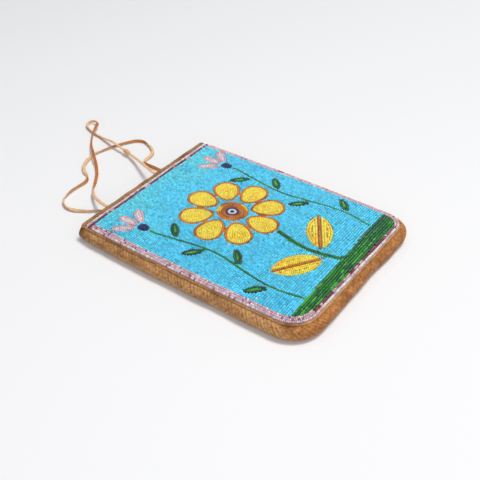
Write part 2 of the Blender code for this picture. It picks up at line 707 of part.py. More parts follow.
def make_fields():
    # The sky and the ground: straight bead rows clipped to the borders, round the flower work
    inside = place_cutter("cut_field", prism("cut_field", field_outline()))
    under = place_cutter("cut_under", smooth_block("cut_under", seat_gap))
    side = half_width + 2 * block_margin
    low_y, high_y = bottom_y - 2 * block_margin, mouth_y + 2 * block_margin
    left_y, right_y = ground_top(-side), ground_top(side)
    below = [(-side, low_y), (side, low_y), (side, right_y + seat_gap), (-side, left_y + seat_gap)]
    above = [(-side, left_y), (side, right_y), (side, high_y), (-side, high_y)]
    sky = place("sky_field", row_block("sky_field"), sky_blue, bead_roughness)
    boolean(sky, inside, "INTERSECT")
    boolean(sky, place_cutter("cut_below", prism("cut_below", below)), "DIFFERENCE")
    for cutter in motif_cutters:
        boolean(sky, cutter, "DIFFERENCE")
    boolean(sky, under, "DIFFERENCE")
    ground = place("ground_field", row_block("ground_field"), ground_green, bead_roughness)
    boolean(ground, inside, "INTERSECT")
    boolean(ground, place_cutter("cut_above", prism("cut_above", above)), "DIFFERENCE")
    boolean(ground, under, "DIFFERENCE")


def smooth_route(route):
    # A smooth curve through the route's points, read at even steps along its length
    points = np.array(route)
    before = np.vstack([2 * points[0] - points[1], points[:-1]])
    after = np.vstack([points[1:], 2 * points[-1] - points[-2]])
    slope = (after - before) / 2
    steps = np.linspace(0, 1, curve_steps, endpoint=False)[:, None]
    pieces = []
    for i in range(len(points) - 1):
        a, b = points[i], points[i + 1]
        s2, s3 = steps ** 2, steps ** 3
        pieces.append((2 * s3 - 3 * s2 + 1) * a + (s3 - 2 * s2 + steps) * slope[i]
                      + (3 * s2 - 2 * s3) * b + (s3 - s2) * slope[i + 1])
    fine = np.vstack([*pieces, points[-1:]])
    run = np.concatenate([[0.0], np.cumsum(np.linalg.norm(np.diff(fine, axis=0), axis=1))])
    count = round(run[-1] / thong_spacing) + 1
    even = np.linspace(0, run[-1], count)
    return np.stack([np.interp(even, run, fine[:, i]) for i in range(3)], axis=1)


def make_thong(name, route):
    line = smooth_route(route)
    curve = bpy.data.curves.new(name, "CURVE")
    curve.dimensions = "3D"
    curve.bevel_depth = thong_width / 2
    curve.bevel_resolution = 2
    curve.use_fill_caps = True
    spline = curve.splines.new("POLY")
    spline.points.add(len(line) - 1)
    for point, place_at in zip(spline.points, line):
        point.co = (*place_at, 1.0)
    item = bpy.data.objects.new(name, curve)
    parts.objects.link(item)
    curve.materials.append(make_material(name, buckskin, buckskin_roughness))
    return line


def make_splice(line):
    # Where two lengths are joined: the slit end of one wraps the other as a short sleeve
    middle = Vector((splice_x, splice_y, 0.0))
    nearest = min(range(len(line)), key=lambda i: (Vector(line[i]).xy - middle.xy).length)
    ahead = Vector(line[nearest + 1]) - Vector(line[nearest - 1])
    inner = thong_width / 2 + seat_gap
    outer = inner + splice_wall
    rings = []
    end = (inner + outer) / 2
    half = splice_length / 2
    straight = half - splice_wall * 2
    for z, radius in ((-half, end), (-straight, outer), (straight, outer), (half, end), (half, inner),
                      (-half, inner)):
        rings.append([(radius * math.cos(t), radius * math.sin(t), z)
                      for t in np.linspace(0, 2 * math.pi, sleeve_points, endpoint=False)])
    mesh = ring_loft("thong_splice", rings, False)
    item = place("thong_splice", mesh, buckskin, buckskin_roughness)
    item.location = Vector(line[nearest])
    item.rotation_euler = ahead.to_track_quat("Z", "X").to_euler()


clear_scene()
parts = make_collection("beaded_bag")
cutters = make_collection("cutters")
motif_cutters = []
make_pouch_back()
make_front_canvas()
make_front_hem()
make_back_hem()
make_borders()
make_mouth_rows()
make_rosette()
make_stem_and_leaves()
make_bud("left", side_stem_left * fit_across)
make_bud("right", side_stem_right * fit_across)
make_fields()
front_line = make_thong("thong_front", front_thong_route)
make_splice(front_line)
make_thong("thong_back", back_thong_route)
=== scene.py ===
# Looks of a flat beaded bag: single glass beads sewn in rows, a corduroy back, folded hems and two
# buckskin thongs. Metres, mouth towards +Y, beaded front up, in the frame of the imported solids.
import math
import bpy
import numpy as np
from mathutils.geometry import convex_hull_2d
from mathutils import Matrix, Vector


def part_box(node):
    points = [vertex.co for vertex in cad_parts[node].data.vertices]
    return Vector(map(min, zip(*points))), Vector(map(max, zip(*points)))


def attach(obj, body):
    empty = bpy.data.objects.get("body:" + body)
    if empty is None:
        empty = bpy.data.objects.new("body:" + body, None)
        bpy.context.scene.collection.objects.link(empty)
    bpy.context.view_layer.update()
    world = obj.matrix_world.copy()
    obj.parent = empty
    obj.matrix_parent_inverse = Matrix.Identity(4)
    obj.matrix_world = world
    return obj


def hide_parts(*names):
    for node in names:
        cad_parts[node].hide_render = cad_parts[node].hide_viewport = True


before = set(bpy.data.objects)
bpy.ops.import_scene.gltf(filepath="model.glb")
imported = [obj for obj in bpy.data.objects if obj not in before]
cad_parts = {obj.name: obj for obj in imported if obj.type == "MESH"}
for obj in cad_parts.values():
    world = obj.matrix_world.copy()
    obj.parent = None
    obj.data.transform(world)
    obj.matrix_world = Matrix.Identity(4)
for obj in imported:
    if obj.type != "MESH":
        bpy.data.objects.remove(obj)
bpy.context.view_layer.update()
chance = np.random.default_rng(41)
print("solids loaded")


# Camera, light and floor

cameraPlace = {
    "location": (-0.46677, -0.32907, 0.44313),
    "heading": 35.707,      # degrees from +X towards +Y
    "pitch": 38.067,        # degrees below the horizon
    "lens": 59.74,          # mm
    "sensor": 36,           # mm, its width
}
lampPlaces = {
    # name: direction from the bag, distance, side of the square lamp, power in watts, colour
    "keyLamp": ((0.42, -0.22, 1.35), 2.4, 0.8, 36.0, (1.0, 0.985, 0.965)),
    "fillLamp": ((-1.0, -0.85, 0.9), 2.4, 2.0, 13.0, (0.975, 0.985, 1.0)),
}
studio = {
    "skyColour": (0.95, 0.965, 1.0),
    "skyStrength": 0.36,
    "seenColour": (0.92, 0.925, 0.935),
    # floorNear and floorFar: painted light, the floor's colour near the viewer and far from it
    "floorNear": (0.955, 0.958, 0.970),
    "floorFar": (0.842, 0.850, 0.858),
    "fadeWay": (0.95, 0.33, 0),     # the direction along which the floor's tone changes
    "fadeSpan": (-0.40, 0.62),      # where along it the change starts and ends
    "floorEnd": (0.8, 1.8),     # metres from the bag between which the floor turns into the studio
    "floorSide": 8.0,
    "floorRoughness": 0.9,
    "floorShine": 0.15,
}


def makeCamera(place):
    data = bpy.data.cameras.new("photoCamera")
    data.lens = place["lens"]
    data.sensor_width = place["sensor"]
    camera = bpy.data.objects.new("photoCamera", data)
    camera.location = place["location"]
    camera.rotation_euler = (math.radians(90 - place["pitch"]), 0, math.radians(place["heading"] - 90))
    bpy.context.scene.collection.objects.link(camera)
    bpy.context.scene.camera = camera


def makeLamps(places):
    # Square lamps, each turned so that its -Z axis points at the origin
    for name, (towards, distance, side, power, colour) in places.items():
        data = bpy.data.lights.new(name, "AREA")
        data.shape = "SQUARE"
        data.size = side
        data.energy = power
        data.color = colour
        lamp = bpy.data.objects.new(name, data)
        lamp.location = np.array(towards) / np.linalg.norm(towards) * distance
        x, y, z = lamp.location
        lamp.rotation_euler = (math.atan2(math.hypot(x, y), z), 0, math.atan2(x, -y))
        bpy.context.scene.collection.objects.link(lamp)


def makeWorld(setting):
    # Camera and glossy rays see the pale studio, the rest get its light
    world = bpy.data.worlds.new("studio")
    world.use_nodes = True
    tree = world.node_tree
    tree.nodes.clear()
    paths = addNode(tree, "LightPath", {}).outputs
    seen = mathNode(tree, "MAXIMUM", paths["Is Camera Ray"], paths["Is Glossy Ray"])
    lit = addNode(tree, "Background", {"Color": setting["skyColour"], "Strength": setting["skyStrength"]})
    shown = addNode(tree, "Background", {"Color": setting["seenColour"], "Strength": 1.0})
    both = addNode(tree, "MixShader", {0: seen, 1: lit.outputs[0], 2: shown.outputs[0]})
    addNode(tree, "OutputWorld", {"Surface": both.outputs[0]})
    bpy.context.scene.world = world


def makeFloor(setting):
    half = setting["floorSide"] / 2
    mesh = bpy.data.meshes.new("studioFloor")
    mesh.from_pydata([(-half, -half, 0), (half, -half, 0), (half, half, 0), (-half, half, 0)], [],
                     [(0, 1, 2, 3)])
    material, tree, shader = newMaterial("studioFloor", {
        "Roughness": setting["floorRoughness"], "Specular IOR Level": setting["floorShine"]})
    # Painted light: the floor's colour grows paler towards the viewer: a share along one direction mixes
    # two tones
    place = addNode(tree, "TexCoord", {}).outputs["Object"]
    along = addNode(tree, "VectorMath", {0: place, 1: setting["fadeWay"]}, operation="DOT_PRODUCT")
    low, high = setting["fadeSpan"]
    share = addNode(tree, "MapRange", {"Value": along.outputs["Value"], "From Min": low, "From Max": high},
                    interpolation_type="SMOOTHSTEP").outputs["Result"]
    fill(tree, shader, {"Base Color": mixNode(tree, share, setting["floorNear"], setting["floorFar"])})
    # Far out the camera sees the studio's own tone, so that the floor has no visible end
    away = addNode(tree, "VectorMath", {0: place}, operation="LENGTH").outputs["Value"]
    far = rangeNode(tree, away, *setting["floorEnd"], 0, 1)
    seen = addNode(tree, "LightPath", {}).outputs["Is Camera Ray"]
    blank = addNode(tree, "Emission", {"Color": setting["seenColour"]})
    both = addNode(tree, "MixShader", {0: mathNode(tree, "MULTIPLY", far, seen), 1: shader.outputs[0],
                                       2: blank.outputs[0]})
    fill(tree, tree.nodes["Material Output"], {"Surface": both.outputs[0]})
    mesh.materials.append(material)
    floor = bpy.data.objects.new("studioFloor", mesh)
    bpy.context.scene.collection.objects.link(floor)


# Directions, lengths and smoothing

def unit(vectors, least=0.0):
    # Vectors brought to length 1; least keeps one without length from a division by zero
    return vectors / (np.linalg.norm(vectors, axis=1)[:, None] + least)


def leftOf(ways):
    # Directions seen from above, turned a quarter to the left
    return np.stack([-ways[:, 1], ways[:, 0]], -1)


def sideAndUp(line):
    # The level direction across a line, and the one at right angles to it and to the line
    ahead = unit(np.gradient(line, axis=0))
    side = unit(np.cross((0, 0, 1), ahead))
    return side, np.cross(ahead, side)


def runAlong(path):
    # The length of a path up to each of its points
    return np.concatenate([[0], np.cumsum(np.linalg.norm(np.diff(path, axis=0), axis=1))])


def readAt(at, run, path):
    # Points of a path at given lengths along it
    return np.stack([np.interp(at, run, column) for column in path.T], 1)


def smoothed(values, size, **padding):
    # The mean over a window of that many values, weighted like one wave of a cosine
    kernel = np.hanning(size) / np.hanning(size).sum()
    return np.convolve(np.pad(values, size // 2, **padding), kernel, mode="valid")


def rounded(values, power):
    # |value|^power with the value's own sign: powers under 1 square a circle off
    return np.sign(values) * np.abs(values) ** power


def circle(count):
    # Angles at even steps once round
    return np.linspace(0, 2 * math.pi, count, endpoint=False)


def waves(points, size, seed, count=6):
    # Smooth noise from -1 to 1: the mean of a few sine waves in random directions of about one length
    draw = np.random.default_rng(seed)
    turn = draw.uniform(0, 2 * math.pi, count)
    scale = 2 * math.pi / (size * draw.uniform(0.7, 1.5, count))
    shift = draw.uniform(0, 2 * math.pi, count)
    way = np.stack([np.cos(turn), np.sin(turn)]) * scale
    return np.sin(points[..., :2] @ way + shift).mean(-1) * math.sqrt(2)


def linear(red, green, blue):
    # A colour as seen on the screen, 0 to 255, to the numbers that a shader takes
    share = np.array([red, green, blue]) / 255
    return np.where(share <= 0.04045, share / 12.92, ((share + 0.055) / 1.055) ** 2.4)


# Meshes from arrays

def facingOut(points, quads, tris):
    # Faces point outwards when the volume that they enclose, a sum of one pyramid for each triangle,
    # is positive. A face that is turned keeps its first corner, and a quad its third as well
    corners = np.concatenate([quads[:, :3], quads[:, [0, 2, 3]], tris])
    first, second, third = (points[corners[:, i]] for i in range(3))
    if np.einsum("ij,ij->", first, np.cross(second, third)) < 0:
        return quads[:, [0, 3, 2, 1]], tris[:, [0, 2, 1]]
    return quads, tris


def meshFromArrays(name, points, quads, tris):
    # Puts an (n, 3) array of points and (m, 4) and (k, 3) arrays of corners into a mesh at once
    quads, tris = facingOut(points, quads, tris)
    mesh = bpy.data.meshes.new(name)
    mesh.vertices.add(len(points))
    mesh.vertices.foreach_set("co", np.asarray(points, np.float32).ravel())
    corners = np.concatenate([quads.ravel(), tris.ravel()]).astype(np.int32)
    starts = np.concatenate([np.arange(len(quads)) * 4, len(quads) * 4 + np.arange(len(tris)) * 3])
    mesh.loops.add(len(corners))
    mesh.loops.foreach_set("vertex_index", corners)
    mesh.polygons.add(len(starts))
    mesh.polygons.foreach_set("loop_start", starts.astype(np.int32))
    mesh.polygons.foreach_set("use_smooth", np.ones(len(starts), bool))
    mesh.update(calc_edges=True)
    mesh.validate()
    return mesh


def repeatedMesh(name, copies, quads, tris):
    # One mesh of many copies of a shape: copies is (number, points of the shape, 3)
    step = np.arange(len(copies))[:, None, None] * copies.shape[1]
    return meshFromArrays(name, copies.reshape(-1, 3), (quads[None] + step).reshape(-1, 4),
                          (tris[None] + step).reshape(-1, 3))


def giveAttribute(mesh, name, values, end=0.5):
    # One number, or one colour of three numbers, for each point. The middles of a tube's two ends
    # come last and take the end value
    values = np.asarray(values, np.float32)
    if values.shape[-1] == 3 and values.ndim == 2 and len(values) == len(mesh.vertices):
        colours = np.ones((len(values), 4), np.float32)
        colours[:, :3] = values
        mesh.color_attributes.new(name, "FLOAT_COLOR", "POINT").data.foreach_set("color", colours.ravel())
    else:
        rest = np.full(len(mesh.vertices) - values.size, end, np.float32)
        values = np.concatenate([values.ravel(), rest])
        mesh.attributes.new(name, "FLOAT", "POINT").data.foreach_set("value", values)


def loftFaces(rings, around):
    # Quads between rings of points, each ring closed on itself, and fans to the middles of the two
    # ends, which come after all the rings
    i = np.arange(rings - 1)[:, None] * around
    j = np.arange(around)[None, :]
    k = (j + 1) % around
    quads = np.stack([i + j, i + k, i + around + k, i + around + j], -1).reshape(-1, 4)
    last, total = (rings - 1) * around, rings * around
    low = np.stack([k[0], j[0], np.full(around, total)], -1)
    high = np.stack([last + j[0], last + k[0], np.full(around, total + 1)], -1)
    return quads, np.concatenate([low, high])


def bandEnds(around, first):
    # Triangles across a bent band: its first side has that many points of the ring, the other side
    # comes back, and the points are paired by their share of each side
    k = np.linspace(0, 1, max(first, around - first))
    one = np.round(k * (first - 1)).astype(int)
    other = around - 1 - np.round(k * (around - first - 1)).astype(int)
    near = np.stack([one[:-1], one[1:], other[1:]], -1)[one[1:] > one[:-1]]
    far = np.stack([one[:-1], other[1:], other[:-1]], -1)[other[1:] < other[:-1]]
    return np.concatenate([near, far])


def loft(name, rings, first=None):
    # rings is (number, around, 3): a closed tube through the rings, with a fan at each end, or on a
    # bent band with a strip across it
    number, around = rings.shape[:2]
    quads, tris = loftFaces(number, around)
    points = rings.reshape(-1, 3)
    if first is None:
        points = np.concatenate([points, rings[0].mean(0)[None], rings[-1].mean(0)[None]])
    else:
        across = bandEnds(around, first)
        tris = np.concatenate([across[:, ::-1], across + (number - 1) * around])
    return meshFromArrays(name, points, quads, tris)


def placePiece(name, mesh, material, slotName, *replaced):
    piece = bpy.data.objects.new(name, mesh)
    bpy.context.scene.collection.objects.link(piece)
    mesh.materials.append(material)
    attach(piece, "root")
    if replaced:
        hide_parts(*replaced)
    return piece

# Shared effects as node groups

def fill(tree, node, values):
    # Gives a node's inputs their values: numbers, colours of three numbers, or sockets to link
    for label, value in values.items():
        socket = node.inputs[label]
        if isinstance(value, bpy.types.NodeSocket):
            tree.links.new(value, socket)
        else:
            socket.default_value = (*value, 1) if socket.type == "RGBA" else value


def addNode(tree, kind, values, **settings):
    node = tree.nodes.new(f"ShaderNode{kind}")
    for label, value in settings.items():
        setattr(node, label, value)
    fill(tree, node, values)
    return node


def noiseNode(tree, vector, scale, detail=3.0, roughness=0.55):
    return addNode(tree, "TexNoise", {"Vector": vector, "Scale": scale, "Detail": detail,
                                      "Roughness": roughness}).outputs["Fac"]


def rangeNode(tree, value, fromLow, fromHigh, toLow, toHigh):
    return addNode(tree, "MapRange", {"Value": value, "From Min": fromLow, "From Max": fromHigh,
                                      "To Min": toLow, "To Max": toHigh}).outputs["Result"]


def mathNode(tree, operation, first, second):
    return addNode(tree, "Math", {0: first, 1: second}, operation=operation).outputs[0]


def mixNode(tree, share, first, second, kind="MIX"):
    # A mix of two colours, whose sockets are the node's inputs 6 and 7 and its output 2
    node = addNode(tree, "Mix", {0: share, 6: first, 7: second}, data_type="RGBA", blend_type=kind)
    return node.outputs[2]


def makeGroup(name, inputs, outputs):
    # A node group whose inputs are numbers or colours, as their first values are
    group = bpy.data.node_groups.new(name, "ShaderNodeTree")
    for label, value in inputs.items():
        kind = "NodeSocketFloat" if isinstance(value, float) else "NodeSocketColor"
        group.interface.new_socket(label, in_out="INPUT", socket_type=kind).default_value = value
    for label in outputs:
        kind = "NodeSocketColor" if label == "Color" else "NodeSocketFloat"
        group.interface.new_socket(label, in_out="OUTPUT", socket_type=kind)
    place = addNode(group, "TexCoord", {}).outputs["Object"]
    return group, group.nodes.new("NodeGroupInput").outputs, group.nodes.new("NodeGroupOutput"), place


white, black = (1, 1, 1, 1), (0, 0, 0, 1)
bpy.context.scene.view_settings.view_transform = "Standard"


# In each pattern: scale, detail and roughness of a noise, and between which of its values it shows
dirt = {
    "specks": 900.0,
    "broadSpan": (0.4, 0.7),
    "speckSpan": (0.45, 0.75),
    "speckShare": 0.5,
    "gloss": (0.16, 0.5),       # roughness of a clean bead, and where it is half covered
}
pile = {
    "fibres": (700.0, 4.0, 0.6),
    "fibreSpan": (0.35, 0.65, -0.2, 0.2),
    "broad": (42.0, 5.0, 0.66),
    "broadSpan": (0.46, 0.62, 0, 1),
    "small": (190.0, 4.0, 0.6),
    "smallSpan": (0.48, 0.64, 0, 0.6),
    "mostWorn": 0.92,
}
nap = {
    "mottle": (260.0, 4.0),
    "fine": (3200.0, 2.0),
    "mottleSpan": (0.42, 0.72, 0, 0.75),
    "darker": (0.45, 0.2, 0.07),
    "darkShare": 0.5,
    "roughness": (0.3, 0.7, 0.62, 0.85),
    "mottleHeight": 1.5,
}


def handledGroup(setting):
    # Dirt from handling: broad patches and fine specks darken the colour and dull the gloss
    group, given, result, place = makeGroup(
        "handledDirt", {"Color": white, "Dirt": (0.12, 0.08, 0.05, 1), "Amount": 0.3, "Patch Size": 40.0},
        ("Color", "Roughness"))
    broad = rangeNode(group, noiseNode(group, place, given["Patch Size"]), *setting["broadSpan"], 0, 1)
    fine = rangeNode(group, noiseNode(group, place, setting["specks"]), *setting["speckSpan"], 0, 1)
    fine = mathNode(group, "MULTIPLY", fine, setting["speckShare"])
    both = mathNode(group, "MULTIPLY", mathNode(group, "ADD", broad, fine), given["Amount"])
    fill(group, result, {"Color": mixNode(group, both, given["Color"], given["Dirt"]),
                         "Roughness": rangeNode(group, both, 0, 0.5, *setting["gloss"])})
    return group


def pileGroup(setting):
    # Corduroy: pale worn crests, darker valleys, patches rubbed dark, painted shade at the wall's foot
    # through the same share, and short fibres as height
    group, given, result, place = makeGroup(
        "cordPile", {"Crest": 0.5, "Wear And Shade": 0.3, "Warmth": 0.0, "Crest Color": white, "Valley Color": black,
                     "Warm Color": white, "Worn Color": black}, ("Color", "Height"))
    fibres = noiseNode(group, place, *setting["fibres"])
    crest = mathNode(group, "ADD", given["Crest"], rangeNode(group, fibres, *setting["fibreSpan"]))
    top = mixNode(group, given["Warmth"], given["Crest Color"], given["Warm Color"])
    ridge = mixNode(group, rangeNode(group, crest, 0.0, 1.0, 0, 1), given["Valley Color"], top)
    broad = rangeNode(group, noiseNode(group, place, *setting["broad"]), *setting["broadSpan"])
    small = rangeNode(group, noiseNode(group, place, *setting["small"]), *setting["smallSpan"])
    rubbed = mathNode(group, "MULTIPLY", mathNode(group, "ADD", broad, small), given["Wear And Shade"])
    worn = rangeNode(group, rubbed, 0, 1, 0, setting["mostWorn"])
    fill(group, result, {"Color": mixNode(group, worn, ridge, given["Worn Color"]), "Height": fibres})
    return group


def weaveGroup():
    # Plain weave: two sets of threads at right angles, each a row of sine crests
    group, given, result, place = makeGroup(
        "plainWeave", {"Color": white, "Gap Color": black, "Threads": 1600.0}, ("Color", "Height"))
    parts = addNode(group, "SeparateXYZ", {0: place}).outputs
    phases = [mathNode(group, "MULTIPLY", parts[axis], given["Threads"]) for axis in ("X", "Y")]
    crests = [mathNode(group, "ABSOLUTE", mathNode(group, "SINE", phase, 0), 0) for phase in phases]
    height = mathNode(group, "MAXIMUM", *crests)
    fill(group, result, {"Color": mixNode(group, height, given["Gap Color"], given["Color"]),
                         "Height": height})
    return group


def hideGroup(setting):
    # Buckskin: a pale napped face and a darker face of painted shade, with fine mottling and creases
    group, given, result, place = makeGroup(
        "buckskinNap", {"Shaded": 0.0, "Pale Color": white, "Shaded Color": black},
        ("Color", "Roughness", "Height"))
    mottle = noiseNode(group, place, *setting["mottle"])
    fine = noiseNode(group, place, *setting["fine"])
    face = mixNode(group, given["Shaded"], given["Pale Color"], given["Shaded Color"])
    dark = mixNode(group, setting["darkShare"], face, setting["darker"], "MULTIPLY")
    share = rangeNode(group, mottle, *setting["mottleSpan"])
    broad = mathNode(group, "MULTIPLY", mottle, setting["mottleHeight"])
    fill(group, result, {"Color": mixNode(group, share, face, dark),
                         "Roughness": rangeNode(group, mottle, *setting["roughness"]),
                         "Height": mathNode(group, "ADD", fine, broad)})
    return group


groups = {
    "dirt": handledGroup(dirt),
    "pile": pileGroup(pile),
    "weave": weaveGroup(),
    "hide": hideGroup(nap),
}


def newMaterial(name, values):
    # A material with one Principled shader, whose inputs take the given values
    material = bpy.data.materials.new(name)
    material.use_nodes = True
    shader = material.node_tree.nodes["Principled BSDF"]
    fill(material.node_tree, shader, values)
    return material, material.node_tree, shader


def groupMaterial(name, groupName, given, read, values, bump=None):
    # A material with one placed group: given are the group's values, read names the attributes that
    # its inputs follow, values go to the shader, and bump is the strength and depth of its height
    material, tree, shader = newMaterial(name, values)
    effect = addNode(tree, "Group", {}, node_tree=groups[groupName])
    fill(tree, effect, given)
    for label, (attribute, output) in read.items():
        source = addNode(tree, "Attribute", {}, attribute_name=attribute)
        fill(tree, effect, {label: source.outputs[output]})
    fill(tree, shader, {"Base Color": effect.outputs["Color"]})
    if "Roughness" in effect.outputs:
        fill(tree, shader, {"Roughness": effect.outputs["Roughness"]})
    if bump:
        height = addNode(tree, "Bump", {"Strength": bump[0], "Distance": bump[1],
                                        "Height": effect.outputs["Height"]})
        fill(tree, shader, {"Normal": height.outputs["Normal"]})
    return material


def pileMaterial(name, crest, valley, warm, worn):
    return groupMaterial(
        name, "pile", {"Crest Color": linear(*crest), "Valley Color": linear(*valley),
                       "Warm Color": linear(*warm), "Worn Color": linear(*worn)},
        {"Crest": ("waleCrest", "Fac"), "Wear And Shade": ("wearAndShadeShare", "Fac"), "Warmth": ("warmShare", "Fac")},
        {"Roughness": 0.92, "Specular IOR Level": 0.2, "Sheen Weight": 0.06, "Sheen Roughness": 0.5},
        (0.5, 0.0003))


def threadMaterial():
    material, tree, shader = newMaterial("stitchThread", {"Roughness": 0.7})
    place = addNode(tree, "TexCoord", {}).outputs["Object"]
    shade = mixNode(tree, noiseNode(tree, place, 700.0), linear(62, 30, 24), linear(128, 62, 50))
    fill(tree, shader, {"Base Color": shade})
    return material


makeCamera(cameraPlace)
makeLamps(lampPlaces)
makeWorld(studio)
makeFloor(studio)
print("camera, lamps and floor made")

materials = {
    # Opaque glass: each bead has its own colour and painted shade, a hard highlight and a little dirt from
    # handling
    "beads": groupMaterial(
        "seedBeads", "dirt", {"Amount": 0.06, "Dirt": (0.10, 0.07, 0.05), "Patch Size": 45.0},
        {"Color": ("beadColour", "Color")}, {"IOR": 1.52}),
    # Corduroy: colours of its crests, its valleys, its warm parts and where it is worn
    "wall": pileMaterial("corduroyWall", (231, 177, 118), (110, 66, 34), (216, 148, 86), (118, 70, 36)),
    "back": pileMaterial("corduroyBack", (230, 180, 128), (112, 70, 38), (228, 160, 102), (128, 84, 50)),
    "hem": pileMaterial("corduroyHem", (200, 152, 102), (86, 54, 32), (208, 150, 100), (86, 54, 34)),
    "canvas": groupMaterial(
        "backingCloth", "weave", {"Color": linear(196, 178, 150), "Gap Color": linear(96, 82, 66),
                                  "Threads": 5200.0}, {}, {"Roughness": 0.9}, (0.6, 0.0002)),
    "hide": groupMaterial(
        "buckskin", "hide", {"Pale Color": linear(236, 196, 148), "Shaded Color": linear(188, 114, 54)},
        {"Shaded": ("shadedFace", "Fac")}, {"Sheen Weight": 0.1}, (0.4, 0.0002)),
    "thread": threadMaterial(),
}
print("materials made")


# Thongs, free at their length

thong = {
    "width": 0.0032,
    "thickness": 0.0012,
    "step": 0.0010,         # between two rings of the strip
    "around": 12,
    "fine": 24,             # points of the curve between two of the route
    "flatPower": 0.6,       # the section's shape, across and through the strip
    "edgePower": 0.8,
    "twistWindow": 15,      # rings over which a turn is smoothed
    "uneven": (0.07, 0.02, 5),      # how much the width varies, over what length, and its seed
    "faceShade": (0.5, 0.9),   # the painted shade face's share at the strip's edge, and how fast it changes
    "floorGap": 0.00015,
    "frontRoute": (
        (0.0163, 0.1198, 0.0136), (0.0166, 0.1240, 0.0134), (0.0232, 0.1385, 0.0108),
        (0.0315, 0.1562, 0.0072),
        (0.0372, 0.1700, 0.0048), (0.0403, 0.1815, 0.0044), (0.0420, 0.1915, 0.0056),
        (0.0441, 0.2015, 0.0060), (0.0468, 0.2125, 0.0042), (0.0492, 0.2240, 0.0022),
        (0.0516, 0.2375, 0.0018), (0.0542, 0.2475, 0.0018), (0.0588, 0.2557, 0.0020),
        (0.0658, 0.2570, 0.0027), (0.0682, 0.2508, 0.0038), (0.0628, 0.2440, 0.0050),
        (0.0550, 0.2395, 0.0055), (0.0470, 0.2350, 0.0048), (0.0392, 0.2295, 0.0036),
        (0.0290, 0.2205, 0.0036), (0.0222, 0.2125, 0.0050), (0.0170, 0.2060, 0.0060),
        (0.0110, 0.1983, 0.0050), (0.0035, 0.1888, 0.0026), (-0.0062, 0.1790, 0.0018),
        (-0.0180, 0.1700, 0.0018), (-0.0290, 0.1624, 0.0022), (-0.0374, 0.1530, 0.0042),
        (-0.0453, 0.1388, 0.0085), (-0.0516, 0.1240, 0.0131), (-0.0519, 0.1198, 0.0136),
    ),
    "backRoute": (
        (0.0365, 0.1199, 0.0018), (0.0365, 0.1240, 0.0018), (0.0368, 0.1310, 0.0018),
        (0.0370, 0.1400, 0.0018),
        (0.0370, 0.1490, 0.0018), (0.0390, 0.1548, 0.0018), (0.0445, 0.1573, 0.0018),
        (0.0515, 0.1578, 0.0018), (0.0588, 0.1610, 0.0018), (0.0655, 0.1697, 0.0018),
        (0.0688, 0.1808, 0.0018), (0.0655, 0.1900, 0.0018), (0.0562, 0.1962, 0.0018),
        (0.0471, 0.2006, 0.0018), (0.0370, 0.2042, 0.0018), (0.0273, 0.2066, 0.0018),
        (0.0174, 0.2072, 0.0018), (0.0075, 0.2055, 0.0018), (-0.0023, 0.2008, 0.0018),
        (-0.0098, 0.1930, 0.0018), (-0.0132, 0.1862, 0.0018), (-0.0175, 0.1808, 0.0018),
        (-0.0240, 0.1786, 0.0018), (-0.0320, 0.1788, 0.0018), (-0.0410, 0.1789, 0.0018),
        (-0.0500, 0.1770, 0.0018), (-0.0590, 0.1722, 0.0018), (-0.0640, 0.1629, 0.0018),
        (-0.0628, 0.1518, 0.0018), (-0.0575, 0.1425, 0.0018), (-0.0500, 0.1345, 0.0018),
        (-0.0450, 0.1240, 0.0018), (-0.0447, 0.1199, 0.0018),
    ),
    # share of the length, turn of the strip about its own line in degrees: 0 shows the pale face
    "frontTwist": ((0, 0), (0.30, 12), (0.42, 50), (0.50, 180), (0.56, 235), (0.72, 200), (0.80, 170),
                   (0.88, 20), (1, 0)),
    "backTwist": ((0, 150), (0.07, 160), (0.14, 30), (0.24, 20), (0.30, 150), (0.44, 200), (0.52, 350),
                  (0.60, 360), (0.66, 520), (0.74, 560), (0.84, 700), (0.93, 860), (1, 900)),
}


def smoothRoute(route, step):
    # Cubic curve through the points, with each point's slope half the step from the one before it
    # to the one after it, read at even steps along its length
    points = np.array(route)
    before = np.vstack([2 * points[0] - points[1], points[:-1]])
    after = np.vstack([points[1:], 2 * points[-1] - points[-2]])
    slope = (after - before) / 2
    t = np.linspace(0, 1, thong["fine"], endpoint=False)[None, :, None]
    a, b = points[:-1, None], points[1:, None]
    m, n = slope[:-1, None], slope[1:, None]
    fine = ((2 * t**3 - 3 * t**2 + 1) * a + (t**3 - 2 * t**2 + t) * m
            + (3 * t**2 - 2 * t**3) * b + (t**3 - t**2) * n).reshape(-1, 3)
    fine = np.vstack([fine, points[-1]])
    run = runAlong(fine)
    even = np.linspace(0, run[-1], round(run[-1] / step) + 1)
    return readAt(even, run, fine), run[-1]


def stripRings(line, twist, setting):
    # At each point of the line a rounded flat section, |cos|^0.6 by |sin|^0.8, turned about the line
    side, up = sideAndUp(line)
    keys = np.array(twist, float)
    turn = np.radians(np.interp(np.linspace(0, 1, len(line)), keys[:, 0], keys[:, 1]))
    turn = smoothed(turn, setting["twistWindow"], mode="edge")
    flat = np.cos(turn)[:, None] * side + np.sin(turn)[:, None] * up
    thick = -np.sin(turn)[:, None] * side + np.cos(turn)[:, None] * up
    t = circle(setting["around"])
    across = rounded(np.cos(t), setting["flatPower"])
    through = rounded(np.sin(t), setting["edgePower"])
    share, size, seed = setting["uneven"]
    broad = setting["width"] / 2 * (1 + share * waves(line, size, seed))
    rings = (line[:, None] + flat[:, None] * (across[None, :] * broad[:, None])[..., None]
             + thick[:, None] * (through * setting["thickness"] / 2)[None, :, None])
    # Painted shade: one face of the strip takes the darker colour of its shaded side
    middle, change = setting["faceShade"]
    return rings, np.tile(np.clip(middle - change * through, 0, 1), len(line))


